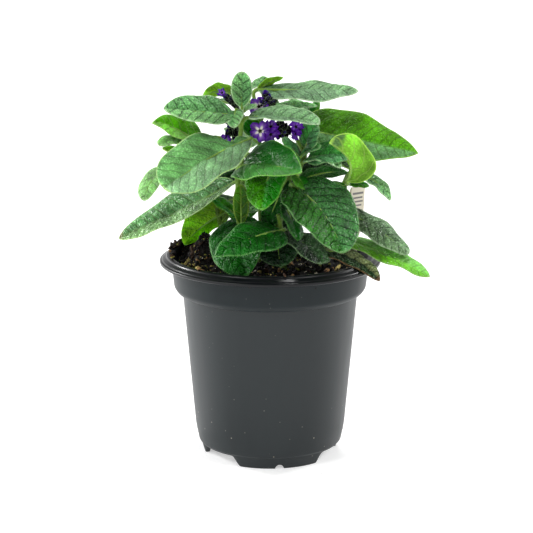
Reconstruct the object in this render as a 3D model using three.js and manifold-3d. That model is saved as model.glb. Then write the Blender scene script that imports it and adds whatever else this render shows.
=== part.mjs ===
// Potted heliotrope: a young plant in flower, in a round black nursery pot filled with potting mix.
// Millimetres, +Z up. The origin is on the pot's axis, in the plane that its feet stand on.

import * as THREE from 'three';
import { mergeVertices } from 'three/addons/utils/BufferGeometryUtils.js';
import Module from 'manifold-3d';

const wasm = await Module();
wasm.setup();

// ---------------------------------------------------------------- driving dimensions

const gap = 0.35; // clearance between pieces that rest in each other

const pot = {
  height: 106.5,
  lipRadius: 57.4,
  lipDrop: 3.7, // from the mouth down to the lip's outer edge
  lipThickness: 1.1,
  lipCrownRadius: 52.4, // where the lip begins to slope outwards
  mouthRadius: 51.2,
  neckRadius: 49.9, // inside of the collar, under the mouth
  neckDrop: 4.5,
  collarRadius: 50.1, // at the collar's lower edge
  collarBottom: 87.2,
  collarRound: 2.4, // height of the collar's rounded lower edge
  wallTopRadius: 45.6,
  wallLowRadius: 39.1, // above the curve into the foot
  wallLowHeight: 14,
  wallFootRadius: 37.5,
  ledge: 6.6, // top of the foot ring
  footRadius: 34.8,
  footThickness: 2.2,
  floorTop: 7.0,
  floorUnderside: 5.4,
  wall: 1.3,
  sectors: 40,
};

const feet = {
  count: 3,
  facing: -82, // degrees from +X to the middle of the front foot
  slotTop: 22.5, // width of the slot between two feet at the ledge
  slotBottom: 31, // and on the ground
  slotDepth: 12,
  slotReach: 40, // how far out a slot's cut goes
  notchRadius: 2.2,
  notchDepth: 12,
};

const drain = { radius: 3.6, ring: 26, depth: 8, sides: 14 };

const soil = {
  level: 100.6,
  sectors: 36,
  rings: 6,
  clump: { x: -34, y: 23, height: 11, spread: 5.6 },
  hollow: { x: -46, y: 4, depth: 2.2, spread: 8 },
};

const label = {
  width: 16,
  headHeight: 21,
  shoulder: 7,
  stakeWidth: 5,
  buried: 26,
  top: 140,
  thickness: 0.8,
  x: 45.5,
  y: 7.5,
  turn: 61, // degrees about the vertical
  lean: 6,
};

const slivers = 0.06; // edges shorter than this are closed up after pieces are fused
const blade = {
  thickness: 0.7,
  neckWidth: 1.8,
  tipWidth: 0.7,
  wave: 0.035, // height of the waves along the edge, as a part of the width
  waveTurns: 13.8, // radians of wave from neck to tip
  rows: 5,
  smallRows: 4,
  smallWidth: 12,
};
const petiole = { radius: 0.85, smallRadius: 0.6, sides: 4, steps: 2, sweep: 0.45, sink: 1.5 };
const stemShape = { foot: 86, collar: 104, sides: 6, steps: 6, topRadius: 1.0, holeSides: 8 };

// how a blade's half-width swells from the neck and narrows to the tip (two exponents)
const oval = [0.55, 0.65];
const blunt = [0.62, 0.42];
const round = [0.5, 0.5];
const heart = [0.3, 0.6];
const long = [0.55, 0.95];
const taper = [0.35, 0.8];
const broad = [0.35, 0.55];
const half = [1, 0.25]; // one side of the blade much narrower

// Each stem rises from foot [x, y] in the soil, past bend, to top. A leaf row is:
// [place along the stem, blade neck, blade tip, width, where its upper face looks,
//  fold, arch, sideways bend (parts of the length), outline, narrowing of the two halves]
const stems = {
  front: {
    foot: [-13, -14], bend: [-19.5, -18, 145], top: [-13.7, -14, 181], radius: 1.9,
    leaves: [
      [0.80, [-10.2, -18, 169.4], [-52.5, -42, 148.2], 35, [-0.1, -0.55, 0.85], 0.14, 0.06, 0, blunt],
      [0.88, [-18.5, -15, 180.9], [-53.3, -26, 185.6], 19.5, [0.3, -0.6, 0.75], 0.2, 0.02, 0, oval],
      [0.98, [-14.4, -14, 185], [-14.4, -10, 202.5], 11.4, [0, -1, 0.2], 0.3, -0.04, 0, round],
      [0.98, [-17.5, -15, 183.5], [-18, -22, 175.5], 10, [-0.3, -0.65, 0.65], 0.06, 0.1, 0, heart],
      [0.98, [-13, -15, 183], [-7, -16, 185.2], 7, [-0.35, -0.15, 0.9], 0.05, 0.1, -0.2, oval],
      [0.95, [-11, -16, 180], [24.5, -28, 178.5], 17, [-0.05, -0.3, 0.95], 0.28, 0.03, -0.04, round],
      [0.50, [-14, -20, 156], [15.5, -46, 157.5], 31, [-0.35, -0.35, 0.85], 0.2, 0.06, 0, taper],
      [0.15, [-18.5, -10, 145.5], [-78.6, 2, 113.3], 23, [-0.45, -0.5, 0.75], 0.3, -0.02, 0, oval],
      [0.12, [-14, -13, 128], [-11, -40, 103.6], 30, [-0.35, -0.6, 0.7], 0.2, 0.05, 0.08, oval],
      [0.24, [-15, -8, 125.5], [-32.5, -2, 137], 12, [0.45, -0.3, 0.85], 0.1, 0.05, 0, oval],
      [0.35, [-12.5, -10, 129.5], [-5, -6, 131], 6, [-0.1, -0.25, 0.95], 0.05, 0.08, 0, oval],
      [0.70, [-27.5, -4, 167.6], [-40, -8, 165.4], 9, [-0.1, -0.2, 0.95], 0.1, 0.08, 0, oval],
    ],
  },
  top: {
    foot: [-4, 6], bend: [-6, 6, 149], top: [-5.5, 2, 181], radius: 1.8,
    leaves: [
      [0.98, [-6, 5, 191.2], [44.5, -6, 191.9], 21, [-0.05, -0.35, 0.95], -0.06, 0, 0, oval],
      [0.85, [2.5, 8, 181.6], [24, 4, 182.2], 13, [-0.05, -0.15, 1], 0.05, 0.05, 0, oval],
      [0.98, [-9.7, 10, 191], [-0.7, 10, 195.8], 10, [-0.45, -0.3, 0.85], 0.05, 0.08, 0, round],
      [0.98, [-6.5, 6, 190.5], [6.5, 4, 197.5], 8, [-0.3, 0.6, 0.75], 0.05, 0.08, 0, oval],
      [0.55, [-10.5, -2, 159], [8, -4, 161], 16, [-0.15, -0.25, 0.95], 0.12, 0.08, 0, oval],
      [0.75, [-9, -3, 168.5], [-9.5, -6, 179], 10, [0, -1, 0.2], 0.05, 0.03, 0, oval],
    ],
  },
  right: {
    foot: [-5, -4], bend: [10, -10, 134], top: [18, -8, 162], radius: 1.9,
    leaves: [
      [0.62, [1.5, -12, 153.5], [-4, -34, 136], 22, [-0.35, -0.5, 0.8], 0.05, 0.1, 0, oval],
      [0.60, [12, -18, 145], [36, -50, 117.5], 35, [0.15, -0.6, 0.8], 0.18, 0.08, -0.05, broad],
      [0.50, [7, -12, 134.5], [13.5, -30.5, 119.3], 13, [0.6, -0.4, 0.65], 0.1, 0.05, 0, oval],
      [0.58, [8.5, -11, 147.5], [-2.5, -13, 121.5], 14, [-0.2, -0.85, 0.45], 0.1, 0.04, 0, oval],
      [0.98, [15.5, -12, 157.5], [6, -20, 169.5], 10, [0.85, -0.35, 0.4], 0.06, 0.05, 0, round],
      [0.98, [18, -8, 163], [23.5, -12, 176.5], 18, [-0.8, -0.55, 0.2], 0.12, 0.05, 0, round],
      [0.98, [15.5, -14, 159.5], [25, -18, 164.5], 8, [-0.55, -0.2, 0.8], 0.1, 0.08, -0.2, round],
      [0.97, [19, -10, 157], [41, -14, 159.5], 22, [-0.15, -0.4, 0.9], 0.18, 0.1, 0, round],
      [0.95, [16.5, -14, 156.5], [35, -24, 155.5], 10, [0, -0.15, 1], 0.22, 0.1, -0.12, round],
      [0.85, [14, -10, 146.6], [38.5, -14.5, 152.3], 19, [-0.15, 0.55, 0.85], 0.05, 0.08, -0.06, round],
      [0.80, [13, -14, 149.5], [17.5, -22, 144], 12, [0.4, -0.35, 0.85], 0.05, 0.1, 0, round],
      [0.80, [13.5, -16, 151], [10, -20, 160], 8, [0.9, -0.3, 0.25], 0.05, 0.08, 0.1, round],
      [0.97, [16, 6, 170.4], [75.3, -10, 160.6], 31, [-0.1, -0.75, 0.68], 0.12, 0.012, 0, taper],
    ],
  },
  low: {
    foot: [7, -17], bend: [6, -19, 123], top: [4, -20, 131], radius: 1.6,
    leaves: [
      [0.55, [5.5, -28, 124.3], [-27.5, -53, 117], 24, [0.15, -0.45, 0.9], -0.06, 0.07, 0, taper],
      [0.20, [20, -24.5, 113.4], [55.4, -30.5, 98.8], 16, [0.4, -0.35, 0.85], 0.06, 0.09, -0.08, oval],
      [0.30, [9, -17, 121.2], [25.5, -38, 109], 27, [0.4, -0.2, 0.9], 0.06, 0.06, 0, round],
      [0.40, [3, -20, 121.5], [5, -40, 108.5], 22, [-0.1, -0.5, 0.85], 0.1, 0.06, 0, round],
    ],
  },
  side: {
    foot: [24, -2], bend: [31, 0, 126], top: [40, -6, 150], radius: 1.7,
    leaves: [
      [0.30, [33, -8, 132], [70.7, -20, 110.3], 18, [0.3, -0.5, 0.8], -0.08, 0.05, -0.02, round],
      [0.15, [36, -9, 115.6], [81, -26, 99.8], 21, [0.25, -0.25, 0.93], 0.1, 0.04, 0, oval],
      [0.98, [38.5, -16, 147.5], [29.5, -22, 168], 26, [0.65, 0.65, 0.45], 0.54, 0.05, -0.33, round, half],
      [0.98, [46.5, -10, 149.2], [60.6, -16, 137.2], 13, [0.55, -0.3, 0.8], 0.06, 0.12, -0.05, oval],
      [0.90, [38.5, -13, 144.5], [28.5, -19, 142.5], 9, [0, -0.6, 0.8], 0.1, 0.05, 0, round],
      [0.95, [39, -4, 144], [50.5, -8, 143], 9, [0, -0.15, 1], -0.1, 0.08, 0, round],
    ],
  },
  left: {
    foot: [-22, 10], bend: [-30, 14, 137], top: [-38, 6, 161.5], radius: 1.7,
    leaves: [
      [0.25, [-21, 10, 126.5], [-45, 6, 109.5], 24, [-0.45, 0.8, 0.4], 0.3, 0.1, 0, oval],
      [0.98, [-36.5, 3, 161.8], [-60.2, -6, 175.2], 21, [0.65, -0.4, 0.65], 0.2, 0.08, 0.07, taper],
      [0.97, [-41, 0, 164.2], [-56.3, -12, 164.6], 11, [0.15, -0.2, 0.95], 0.08, 0.08, 0.08, round],
      [0.95, [-44.5, -2, 160.8], [-54.5, -10, 162.6], 9, [0.3, -0.15, 0.95], -0.16, 0.08, 0, round],
      [0.80, [-47.2, 0, 152], [-64.2, -14, 137], 13, [-0.35, -0.5, 0.8], 0.05, 0.1, 0.14, round],
    ],
  },
  back_left: {
    foot: [-12, 24], bend: [-14, 30, 150], top: [-18, 20, 184], radius: 1.8,
    leaves: [
      [0.98, [-19, 16, 188], [-34.6, 12, 187.9], 14, [-0.2, 0.6, 0.75], 0.05, 0.08, 0, round],
      [0.60, [-22, 32, 160], [-46, 44, 148], 22, [-0.3, 0.5, 0.8], 0.2, 0.08, 0, oval],
      [0.70, [-16, 34, 166], [-10, 56, 152], 23, [0, 0.6, 0.8], 0.2, 0.1, 0, oval],
      [0.40, [-18, 30, 130], [-40, 42, 111], 24, [-0.4, 0.5, 0.75], 0.2, 0.08, 0, oval],
      [0.30, [-12, 32, 128], [-16, 54, 110], 24, [-0.1, 0.6, 0.8], 0.2, 0.1, 0, oval],
      [0.85, [-14, 24, 178], [4, 42, 176], 18, [0.1, 0.4, 0.9], 0.2, 0.08, 0, oval],
      [0.92, [-22, 22, 182], [-36, 34, 176], 15, [-0.3, 0.4, 0.85], 0.2, 0.08, 0, oval],
      [0.98, [-17, 20, 186], [-12, 24, 193], 7, [-0.5, -0.5, 0.5], 0.2, 0, 0, oval],
    ],
  },
  back_right: {
    foot: [12, 20], bend: [16, 28, 146], top: [22, 24, 172], radius: 1.8,
    leaves: [
      [0.95, [24, 26, 172], [44, 36, 166], 17, [0.3, 0.4, 0.85], 0.2, 0.08, 0, oval],
      [0.75, [22, 30, 162], [30, 54, 148], 22, [0.1, 0.6, 0.8], 0.2, 0.08, 0, oval],
      [0.60, [26, 26, 152], [50, 32, 138], 21, [0.4, 0.35, 0.85], 0.2, 0.08, 0, oval],
      [0.40, [18, 30, 138], [28, 54, 116], 25, [0.2, 0.6, 0.75], 0.2, 0.08, 0, oval],
      [0.30, [22, 22, 128], [50, 36, 109], 22, [0.35, 0.4, 0.85], 0.2, 0.12, 0, oval],
      [0.98, [20, 22, 174], [10, 30, 182], 14, [-0.2, 0.3, 0.9], 0.2, 0.08, 0, oval],
      [0.98, [22, 24, 174], [26, 22, 182], 9, [-0.6, -0.5, 0.4], 0.2, 0, 0, oval],
    ],
  },
};

// Each flower head stands on a stalk from its stem to base. Its dark calyces crowd round the head,
// a bud row is [root, direction, length, radius], and an open flower row [throat, where it looks, radius].
const heads = {
  top: {
    stem: 'top', from: 0.96, base: [-3.5, -4.5, 182.5], head: [-1.9, -7.4, 185.5], calyces: 11, spread: 1.65,
    buds: [
      [[-1.8, -7.2, 185.8], [-0.12, -0.05, 1], 7, 2],
    ],
    flowers: {
      petals_top: [
        [[-5.8, -9.6, 184.6], [-0.25, -0.85, 0.45], 5.1],
      ],
    },
  },
  centre: {
    stem: 'top', from: 0.72, base: [0, 0, 168], head: [6, -5, 171.4], calyces: 13, spread: 1.9,
    buds: [],
    flowers: {
      petals_centre: [
        [[-5.2, -14, 172.7], [-0.1, -0.93, 0.25], 5.4],
        [[0.4, -12.3, 170.6], [0.5, -0.8, -0.25], 4.9],
        [[0.4, -11, 174.6], [0.35, -0.7, 0.5], 3.8],
      ],
      petals_right: [
        [[13.2, -10, 174.3], [0.55, -0.7, 0.3], 4.3],
        [[13, -10.5, 170.6], [0.5, -0.75, -0.4], 3.2],
      ],
    },
  },
  left: {
    stem: 'front', from: 0.96, base: [-15.3, -12, 182.3], head: [-17.3, -11, 185], calyces: 3, spread: 0.7,
    buds: [
      [[-17.3, -11, 185], [-0.73, 0.2, 0.65], 9.2, 1.7],
      [[-17.6, -9.8, 186], [-0.2, 0.2, 1], 7.4, 1.5],
    ],
    flowers: {
      petals_left: [
        [[-24.6, -8.9, 191.6], [-0.73, 0.2, 0.65], 2.4],
      ],
    },
  },
  low_left: {
    stem: 'front', from: 0.86, base: [-16.3, -11, 175], head: [-18, -11, 174.7], calyces: 3, spread: 1,
    buds: [
      [[-19.4, -10.8, 175], [-0.4, -0.15, -0.88], 7, 1.7],
      [[-17.4, -11.2, 174], [-0.06, -0.2, -0.95], 7.4, 1.6],
      [[-16.9, -10.9, 174.4], [0.3, -0.3, -0.8], 4.6, 1.3],
    ],
    flowers: {
      petals_low_left: [
        [[-22.3, -11.9, 168.7], [-0.4, -0.15, -0.88], 2.2],
      ],
    },
  },
};

const calyx = { length: 5.6, radius: 1.2, sides: 4, budSides: 6 };
const headCore = { clearance: 0.5, startRadius: 0.7, endRadius: 2.2, beyond: 1.5, sides: 6 };
const goldenTurn = 2.4; // radians from one calyx to the next on the spiral
const corolla = {
  lobes: 5,
  cleft: 0.8, // reach of the notches between lobes, as a part of the radius
  dish: 0.9,
  thickness: 0.6,
  tube: 4.6,
  tubeRadius: 1.0,
  throatDrop: 0.8, // from the lobes down to the top of the tube
  socketSides: 6,
  headroom: 3,
};

const colours = {
  pot: { color: 0x3a3f41, roughness: 0.45, metalness: 0 },
  soil: { color: 0x2b211a, roughness: 0.95, metalness: 0 },
  label: { color: 0xd8cfb4, roughness: 0.5, metalness: 0 },
  leaf: { color: 0x3c7a38, roughness: 0.6, metalness: 0 },
  calyx: { color: 0x241a2c, roughness: 0.8, metalness: 0 },
  petal: { color: 0x5a2aa8, roughness: 0.7, metalness: 0 },
};

// ---------------------------------------------------------------- small helpers

const vec = (p) => new THREE.Vector3(...p);
const radians = THREE.MathUtils.degToRad;

function solidFrom(positions, triangles) {
  return new wasm.Manifold(new wasm.Mesh({
    numProp: 3,
    vertProperties: new Float32Array(positions),
    triVerts: new Uint32Array(triangles),
  }));
}

function solidOf(geometry) {
  const bare = geometry.clone();
  bare.deleteAttribute('normal');
  bare.deleteAttribute('uv');
  const merged = mergeVertices(bare, 1e-4);
  return solidFrom(merged.attributes.position.array, merged.index.array);
}

function geometryOf(solid) {
  const mesh = solid.asOriginal().simplify(slivers).getMesh();
  const geometry = new THREE.BufferGeometry();
  geometry.setAttribute('position', new THREE.BufferAttribute(new Float32Array(mesh.vertProperties), 3));
  geometry.setIndex(new THREE.BufferAttribute(new Uint32Array(mesh.triVerts), 1));
  geometry.computeVertexNormals();
  return geometry;
}

function joined(solids) {
  return solids.reduce((sum, solid) => sum.add(solid));
}

// the largest body of a solid, without loose scraps
function largest(solid) {
  return solid.decompose().reduce((best, body) => (body.volume() > best.volume() ? body : best));
}

function addMesh(group, name, solid, look) {
  const mesh = new THREE.Mesh(geometryOf(solid), new THREE.MeshStandardMaterial(look));
  mesh.name = name;
  group.add(mesh);
  return mesh;
}

// a tube of few sides through points, with a radius at each, closed at both ends
function tube(points, radii, sides) {
  const positions = [];
  const triangles = [];
  let across = new THREE.Vector3(0.31, 0.95, 0.07);
  points.forEach((point, i) => {
    const before = points[Math.max(i - 1, 0)];
    const after = points[Math.min(i + 1, points.length - 1)];
    const along = after.clone().sub(before).normalize();
    across = across.clone().addScaledVector(along, -across.dot(along)).normalize();
    const up = along.clone().cross(across);
    for (let k = 0; k < sides; k += 1) {
      const angle = (2 * Math.PI * k) / sides;
      const p = point.clone()
        .addScaledVector(across, radii[i] * Math.cos(angle))
        .addScaledVector(up, radii[i] * Math.sin(angle));
      positions.push(p.x, p.y, p.z);
    }
  });
  const last = (points.length - 1) * sides;
  for (let k = 0; k < sides; k += 1) {
    const next = (k + 1) % sides;
    for (let ring = 0; ring < last; ring += sides) {
      triangles.push(ring + k, ring + next, ring + sides + next);
      triangles.push(ring + k, ring + sides + next, ring + sides + k);
    }
    if (k > 1) {
      triangles.push(0, k, k - 1);
      triangles.push(last, last + k - 1, last + k);
    }
  }
  return solidFrom(positions, triangles);
}

function curvePoints(a, control, b, steps) {
  return new THREE.QuadraticBezierCurve3(a, control, b).getPoints(steps);
}

// ---------------------------------------------------------------- pot

// The mouth's lip slopes outwards and down over the collar; the wall tapers to a ring of feet.
function potOutline() {
  const { height, collarBottom, collarRadius, collarRound, wall, ledge } = pot;
  const footInside = pot.footRadius - pot.footThickness;
  const lipEdge = height - pot.lipDrop;
  return [
    [0, pot.floorUnderside],
    [footInside - 0.4, pot.floorUnderside],
    [footInside, 0],
    [pot.footRadius, 0],
    [pot.wallFootRadius - 0.9, ledge - 0.4],
    [pot.wallFootRadius, ledge + 0.2],
    [pot.wallLowRadius, pot.wallLowHeight],
    [pot.wallTopRadius, collarBottom - 0.8],
    [collarRadius - 1.5, collarBottom],
    [collarRadius, collarBottom + collarRound],
    [collarRadius + pot.lipThickness, lipEdge + 0.2],
    [pot.lipRadius - 0.7, lipEdge - pot.lipThickness],
    [pot.lipRadius, lipEdge],
    [pot.lipCrownRadius, height],
    [pot.mouthRadius, height - 0.3],
    [pot.neckRadius, height - pot.neckDrop],
    [collarRadius - wall, collarBottom + collarRound + 0.8],
    [collarRadius - wall - 1.4, collarBottom + wall + 0.1],
    [pot.wallTopRadius - wall, collarBottom + 0.6],
    [pot.wallLowRadius - wall, pot.wallLowHeight],
    [pot.wallFootRadius - wall, pot.floorTop + 0.6],
    [0, pot.floorTop],
  ];
}

function potSolid() {
  const outline = potOutline().map(([r, z]) => new THREE.Vector2(r, z));
  let body = solidOf(new THREE.LatheGeometry(outline, pot.sectors).rotateX(Math.PI / 2));
  for (let i = 0; i < feet.count; i += 1) {
    const footAngle = radians(feet.facing + (360 / feet.count) * i);
    const slotAngle = footAngle + Math.PI / feet.count;
    body = body.subtract(footSlot(slotAngle));
    body = body.subtract(footNotch(footAngle));
    body = body.subtract(drainHole(drain.ring * Math.cos(slotAngle), drain.ring * Math.sin(slotAngle)));
  }
  return body.subtract(drainHole(0, 0));
}

// a tapered cut through the foot ring, narrower at the top
function footSlot(angle) {
  const shape = new THREE.Shape();
  shape.moveTo(-feet.slotBottom / 2 - 0.7, -1);
  shape.lineTo(feet.slotBottom / 2 + 0.7, -1);
  shape.lineTo(feet.slotTop / 2, pot.floorUnderside + 0.3);
  shape.lineTo(-feet.slotTop / 2, pot.floorUnderside + 0.3);
  const prism = new THREE.ExtrudeGeometry(shape, { depth: feet.slotDepth, bevelEnabled: false });
  prism.rotateX(Math.PI / 2).translate(0, feet.slotReach, 0).rotateZ(angle - Math.PI / 2);
  return solidOf(prism);
}

function footNotch(angle) {
  const rod = new THREE.CylinderGeometry(feet.notchRadius, feet.notchRadius, feet.notchDepth, 12);
  rod.translate(0, pot.footRadius - 0.8, 0).rotateZ(angle - Math.PI / 2);
  return solidOf(rod);
}

function drainHole(x, y) {
  const rod = new THREE.CylinderGeometry(drain.radius, drain.radius, drain.depth, drain.sides);
  rod.rotateX(Math.PI / 2).translate(x, y, pot.floorTop);
  return solidOf(rod);
}

// ---------------------------------------------------------------- potting mix

function soilHeight(x, y) {
  const { clump, hollow } = soil;
  const bell = (spot) => Math.exp(-((x - spot.x) ** 2 + (y - spot.y) ** 2) / (2 * spot.spread ** 2));
  const swell = 0.9 * Math.sin(0.43 * x + 1.1) * Math.cos(0.38 * y - 0.7);
  const ripple = 0.6 * Math.sin(0.71 * x - 0.53 * y);
  return soil.level + swell + ripple + clump.height * bell(clump) - hollow.depth * bell(hollow);
}

// the filled inside of the pot, with a lumpy top
function soilSolid() {
  const rim = pot.neckRadius - 2 * gap;
  const inside = (radius) => radius - pot.wall - gap;
  const side = [
    [inside(pot.collarRadius), pot.collarBottom + pot.collarRound + 0.8],
    [inside(pot.collarRadius - 1.6), pot.collarBottom + pot.wall + 0.3 + gap],
    [inside(pot.wallTopRadius), pot.collarBottom + 0.6],
    [inside(pot.wallLowRadius), pot.wallLowHeight],
    [inside(pot.wallFootRadius), pot.floorTop + 0.6 + gap],
  ];
  const rows = soil.rings + side.length;
  const positions = [0, 0, soilHeight(0, 0)];
  for (let k = 0; k < soil.sectors; k += 1) {
    const angle = (2 * Math.PI * k) / soil.sectors;
    for (let i = 1; i <= soil.rings; i += 1) {
      const r = rim * (i / soil.rings) ** 0.85;
      const x = r * Math.cos(angle);
      const y = r * Math.sin(angle);
      positions.push(x, y, soilHeight(x, y));
    }
    side.forEach(([r, z]) => positions.push(r * Math.cos(angle), r * Math.sin(angle), z));
  }
  positions.push(0, 0, pot.floorTop + gap);
  const bottom = positions.length / 3 - 1;
  const triangles = [];
  for (let k = 0; k < soil.sectors; k += 1) {
    const here = 1 + k * rows;
    const next = 1 + ((k + 1) % soil.sectors) * rows;
    triangles.push(0, here, next);
    for (let i = 0; i < rows - 1; i += 1) {
      triangles.push(here + i, here + i + 1, next + i + 1);
      triangles.push(here + i, next + i + 1, next + i);
    }
    triangles.push(here + rows - 1, bottom, next + rows - 1);
  }
  return solidFrom(positions, triangles);
}

// a plain hole that a stem stands in
function stemHole([x, y], radius) {
  const height = 2 * (stemShape.collar - stemShape.foot);
  const rod = new THREE.CylinderGeometry(radius + gap, radius + gap, height, stemShape.holeSides);
  rod.rotateX(Math.PI / 2).translate(x, y, stemShape.foot - gap + height / 2);
  return solidOf(rod);
}

// ---------------------------------------------------------------- plant label

function labelShape(grow) {
  const half = label.width / 2 + grow;
  const stake = label.stakeWidth / 2 + grow;
  const shape = new THREE.Shape();
  shape.moveTo(-half, 0);
  shape.lineTo(-half, -label.headHeight);
  shape.lineTo(-stake, -label.headHeight - label.shoulder);
  shape.lineTo(-stake, -(label.top - soil.level));
  shape.lineTo(0, -(label.top - soil.level) - label.buried - grow);
  shape.lineTo(stake, -(label.top - soil.level));
  shape.lineTo(stake, -label.headHeight - label.shoulder);
  shape.lineTo(half, -label.headHeight);
  shape.lineTo(half, 0);
  return shape;
}

function labelGeometry(grow) {
  const depth = label.thickness + 2 * grow;
  const plate = new THREE.ExtrudeGeometry(labelShape(grow), { depth, bevelEnabled: false });
  return plate.translate(0, 0, -depth / 2).rotateX(Math.PI / 2);
}

function placeLabel(object) {
  object.rotation.set(0, radians(label.lean), radians(label.turn), 'ZYX');
  object.position.set(label.x, label.y, label.top);
  object.updateMatrix();
}

// ---------------------------------------------------------------- leaves

function halfWidth(width, along, [rise, fall]) {
  const widest = rise / (rise + fall);
  return (width / 2) * (along / widest) ** rise * ((1 - along) / (1 - widest)) ** fall;
}

// a thick folded and arched blade from neck to tip, with the same triangles on both faces
function bladeSolid([, neck, tip, width, face, fold, arch, bend, outline, halves = [1, 1]], index) {
  const start = vec(neck);
  const chord = vec(tip).sub(start);
  const length = chord.length();
  const c = chord.normalize();
  const look = vec(face);
  const n = look.addScaledVector(c, -look.dot(c)).normalize();
  const b = c.clone().cross(n);
  const small = width < blade.smallWidth;
  const rows = small ? blade.smallRows : blade.rows;
  const columns = small ? 2 : 4;
  const faces = [[], []];
  for (let i = 0; i <= rows; i += 1) {
    const t = i / rows;
    const swell = 4 * t * (1 - t);
    const middle = start.clone().addScaledVector(c, length * t)
      .addScaledVector(n, length * arch * swell).addScaledVector(b, length * bend * swell);
    const slope = 4 * (1 - 2 * t);
    const along = c.clone().addScaledVector(n, arch * slope).addScaledVector(b, bend * slope).normalize();
    const up = n.clone().addScaledVector(along, -n.dot(along)).normalize();
    const side = along.clone().cross(up);
    const least = THREE.MathUtils.lerp(blade.neckWidth, blade.tipWidth, t) / 2;
    const half = Math.max(halfWidth(width, t, outline), least);
    for (let j = 0; j <= columns; j += 1) {
      const u = (2 * j) / columns - 1;
      const reach = half * (u < 0 ? halves[0] : halves[1]);
      const phase = 1.7 * index + (u > 0 ? 1.9 : 0);
      const ripple = Math.sin(blade.waveTurns * t + phase) * u * u * Math.sin(Math.PI * t);
      const wave = blade.wave * width * ripple;
      const lift = reach * Math.abs(u) * Math.sin(fold) + wave;
      const point = middle.clone()
        .addScaledVector(side, reach * u * Math.cos(fold))
        .addScaledVector(up, lift);
      faces[0].push(point.clone().addScaledVector(up, blade.thickness / 2));
      faces[1].push(point.clone().addScaledVector(up, -blade.thickness / 2));
    }
  }
  return sheetSolid(faces, rows, columns);
}

// closes two like grids of points into one thin body
function sheetSolid([top, under], rows, columns) {
  const positions = [...top, ...under].flatMap((p) => [p.x, p.y, p.z]);
  const at = (i, j) => i * (columns + 1) + j;
  const offset = top.length;
  const triangles = [];
  const wallBetween = (p, q) => triangles.push(p, q, q + offset, p, q + offset, p + offset);
  for (let i = 0; i < rows; i += 1) {
    for (let j = 0; j < columns; j += 1) {
      const [p, q, r, s] = [at(i, j), at(i, j + 1), at(i + 1, j + 1), at(i + 1, j)];
      const halves = j < columns / 2 ? [[p, q, s], [q, r, s]] : [[p, q, r], [p, r, s]];
      halves.forEach(([x, y, z]) => {
        triangles.push(x, y, z);
        triangles.push(x + offset, z + offset, y + offset);
      });
    }
    wallBetween(at(i, 0), at(i + 1, 0));
    wallBetween(at(i + 1, columns), at(i, columns));
  }
  for (let j = 0; j < columns; j += 1) {
    wallBetween(at(0, j + 1), at(0, j));
    wallBetween(at(rows, j), at(rows, j + 1));
  }
  return solidFrom(positions, triangles);
}

// ---------------------------------------------------------------- leafy stems

function stemPoint({ foot, bend, top }, place) {
  const start = new THREE.Vector3(foot[0], foot[1], stemShape.collar);
  return new THREE.QuadraticBezierCurve3(start, vec(bend), vec(top)).getPoint(place);
}

function stalkSolid(stem, place, end, direction, radius, sink) {
  const start = stemPoint(stem, place);
  const reach = start.distanceTo(end);
  const control = end.clone().addScaledVector(direction, -petiole.sweep * reach);
  const points = curvePoints(start, control, end, petiole.steps);
  points.push(end.clone().addScaledVector(direction, sink));
  return tube(points, points.map(() => radius), petiole.sides);
}

function stemSolid(stem) {
  const { foot, bend, top, radius } = stem;
  const collar = new THREE.Vector3(foot[0], foot[1], stemShape.collar);
  const points = [
    new THREE.Vector3(foot[0], foot[1], stemShape.foot),
    ...curvePoints(collar, vec(bend), vec(top), stemShape.steps),
  ];
  const taperTo = (i) => THREE.MathUtils.lerp(radius, stemShape.topRadius, i / (points.length - 1));
  return tube(points, points.map((_, i) => taperTo(i)), stemShape.sides);
}

function leafyStem(name, stem) {
  const pieces = [stemSolid(stem)];
  stem.leaves.forEach((leaf, index) => {
    const [place, neck, tip, width] = leaf;
    const direction = vec(tip).sub(vec(neck)).normalize();
    const radius = width < blade.smallWidth ? petiole.smallRadius : petiole.radius;
    pieces.push(bladeSolid(leaf, index));
    pieces.push(stalkSolid(stem, place, vec(neck), direction, radius, petiole.sink));
  });
  Object.values(heads).filter((head) => head.stem === name).forEach(({ from, base, head }) => {
    const direction = vec(head).sub(vec(base)).normalize();
    pieces.push(stalkSolid(stem, from, vec(base), direction, petiole.smallRadius, headCore.clearance));
  });
  return largest(joined(pieces));
}

// ---------------------------------------------------------------- flower heads

// a closed body of rings round an axis, with a point at each end
function spindle(origin, direction, rings, ends, sides, radiusAt = () => 1) {
  const turn = new THREE.Quaternion().setFromUnitVectors(vec([0, 0, 1]), direction.clone().normalize());
  const place = (x, y, z) => new THREE.Vector3(x, y, z).applyQuaternion(turn).add(origin);
  const points = [place(0, 0, ends[0])];
  rings.forEach(([z, r, lobed]) => {
    for (let k = 0; k < sides; k += 1) {
      const angle = (2 * Math.PI * k) / sides;
      const reach = r * (lobed ? radiusAt(k) : 1);
      points.push(place(reach * Math.cos(angle), reach * Math.sin(angle), z));
    }
  });
  points.push(place(0, 0, ends[1]));
  const triangles = [];
  const last = points.length - 1;
  for (let k = 0; k < sides; k += 1) {
    const next = (k + 1) % sides;
    triangles.push(0, 1 + next, 1 + k);
    triangles.push(last, last - sides + k, last - sides + next);
    for (let ring = 1; ring + sides < last; ring += sides) {
      triangles.push(ring + k, ring + next, ring + sides + next);
      triangles.push(ring + k, ring + sides + next, ring + sides + k);
    }
  }
  return solidFrom(points.flatMap((p) => [p.x, p.y, p.z]), triangles);
}

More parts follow.
